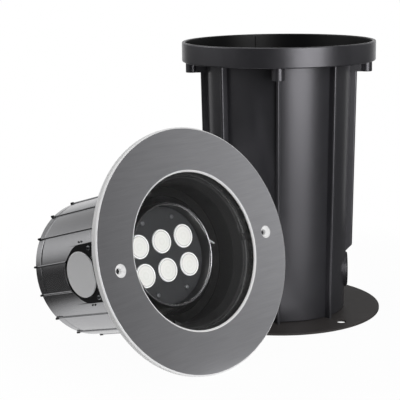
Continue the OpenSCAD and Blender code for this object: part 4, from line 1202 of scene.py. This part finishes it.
low, high = lamp_box("lens_1")
lens_r = (high.x - low.x) / 2 / MM
lens_front, lens_foot = -high.z / MM, -low.z / MM
lens_step = lamp_box("lens_2")[0].x - low.x
lens_rise = lamp_box("lens_4")[0].y - low.y
plate_rear, plate_front = (-corner.z / MM for corner in lamp_box("lens_plate"))
ridge_w = (lens_r - LENS_LIP) / LENS_RIDGES
outline = [(0, lens_front + RIDGE_DEPTH)]
for ridge in range(LENS_RIDGES):
    outline.append((ridge_w * (ridge + 0.5), lens_front + RIDGE_TOP))
    outline.append((ridge_w * (ridge + 1), lens_front + RIDGE_DEPTH))
outline += [(lens_r - LENS_LIP + LIP_SLOPE, lens_front), (lens_r - LENS_BEVEL, lens_front),
            (lens_r, plate_front - PLATE_GAP), (lens_r, plate_rear), (LENS_FOOT_R, lens_foot),
            (0, lens_foot)]
lens = turned("lens", outline, MEDIUM)
out_share = lens.data.attributes.new("out_share", "FLOAT", "POINT")
for vertex, share in zip(lens.data.vertices, out_share.data):
    share.value = math.hypot(vertex.co.x, vertex.co.y) / MM / lens_r
lenses = set_out(lens, rows_tree, "lens_rows", "lens_acrylic", Columns=LENS_COLUMNS, Rows=LENS_ROWS,
                 Width=(LENS_COLUMNS - 1) * lens_step, Height=lens_rise)
settle_in_lamp(lenses, "lenses", "lens_acrylic", *LENS_NODES)

# %% [markdown]
# ## Screws
#
# Every screw is one shape at different sizes: a low head with a rounded edge and a hex socket, and a
# shank. The places come from the CAD node that a set stands for: its box, less a head's width, is the
# width of the rows.

# %% Screws
LENS_SCREW_D, PORT_SCREW_D = 2.4, 2.5
SCREW_EDGE, TIP_BEVEL, SOCKET_DEPTH, HEX = 0.06, 0.3, 0.6, 6


def screw(name, thread_d, head_front, tip):
    """A socket screw between two depths in millimetres. The head's outline is in shares of its size."""
    head_r, head_t = SCREW_HEAD_R * thread_d, SCREW_HEAD_T * thread_d
    socket_r, shank_r = SCREW_SOCKET_R * thread_d, thread_d / 2
    floor_depth, head_rear = head_front + SOCKET_DEPTH * head_t, head_front + head_t
    return turned(name, [
        (0, floor_depth), (socket_r, floor_depth, HEX), (socket_r, head_front + SCREW_EDGE, HEX),
        (1.12 * socket_r, head_front), (0.62 * head_r, head_front),
        (0.8 * head_r, head_front + 0.12 * head_t), (0.94 * head_r, head_front + 0.4 * head_t),
        (head_r, head_rear - SCREW_EDGE), (head_r - SCREW_EDGE, head_rear), (shank_r, head_rear),
        (shank_r, tip - TIP_BEVEL), (shank_r - TIP_BEVEL, tip), (0, tip)], MEDIUM)


def head_width(thread_d):
    """The width of a screw's head, in metres."""
    return 2 * SCREW_HEAD_R * thread_d * MM


low, high = lamp_box("lens_screws")
head_w = head_width(LENS_SCREW_D)
lens_screws = set_out(screw("lens_screw", LENS_SCREW_D, -high.z / MM, -low.z / MM), rows_tree, "screw_rows",
                      "lens_screw_steel", Columns=2, Rows=2, Width=high.x - low.x - head_w,
                      Height=high.y - low.y - head_w)
settle_in_lamp(lens_screws, "lens_screw_set", "lens_screw_steel", "lens_screws")

low, high = lamp_box("cap_screws")
cap_screw = screw("cap_screw", CAP_SCREW_D, low.z / MM, high.z / MM)
cap_screws = set_out(moved(cap_screw, spin(180, "X"), shift(x=cap_screw_r)), round_tree, "cap_screw_round",
                     "screw_steel", Count=CAP_SCREWS, Start=math.radians(CAP_SCREW_TURN))
settle_in_lamp(cap_screws, "cap_screw_set", "screw_steel", "cap_screws")

low, high = lamp_box("port_screws")
port_screws = set_out(screw("port_screw", PORT_SCREW_D, low.x / MM, high.x / MM), rows_tree,
                      "port_screw_rows", "screw_steel", Columns=2, Rows=1,
                      Width=high.y - low.y - head_width(PORT_SCREW_D), Height=0.0)
port_screws = moved(port_screws, spin(90), spin(-90, "Y"), Matrix.Translation((0, 0, (low.z + high.z) / 2)))
settle_in_lamp(port_screws, "port_screw_set", "screw_steel", "port_screws")

# %% [markdown]
# ## Nodes that stay
#
# The inner pieces, such as the driver, the board and the seals, are right as they are. They only get
# their finish.

# %% Finishes for the frame's own nodes
for node, obj in NODES.items():
    obj.data.materials.clear()
    obj.data.materials.append(FINISHES[SLOT_OF[node]])
print("nodes dressed:", len(NODES))
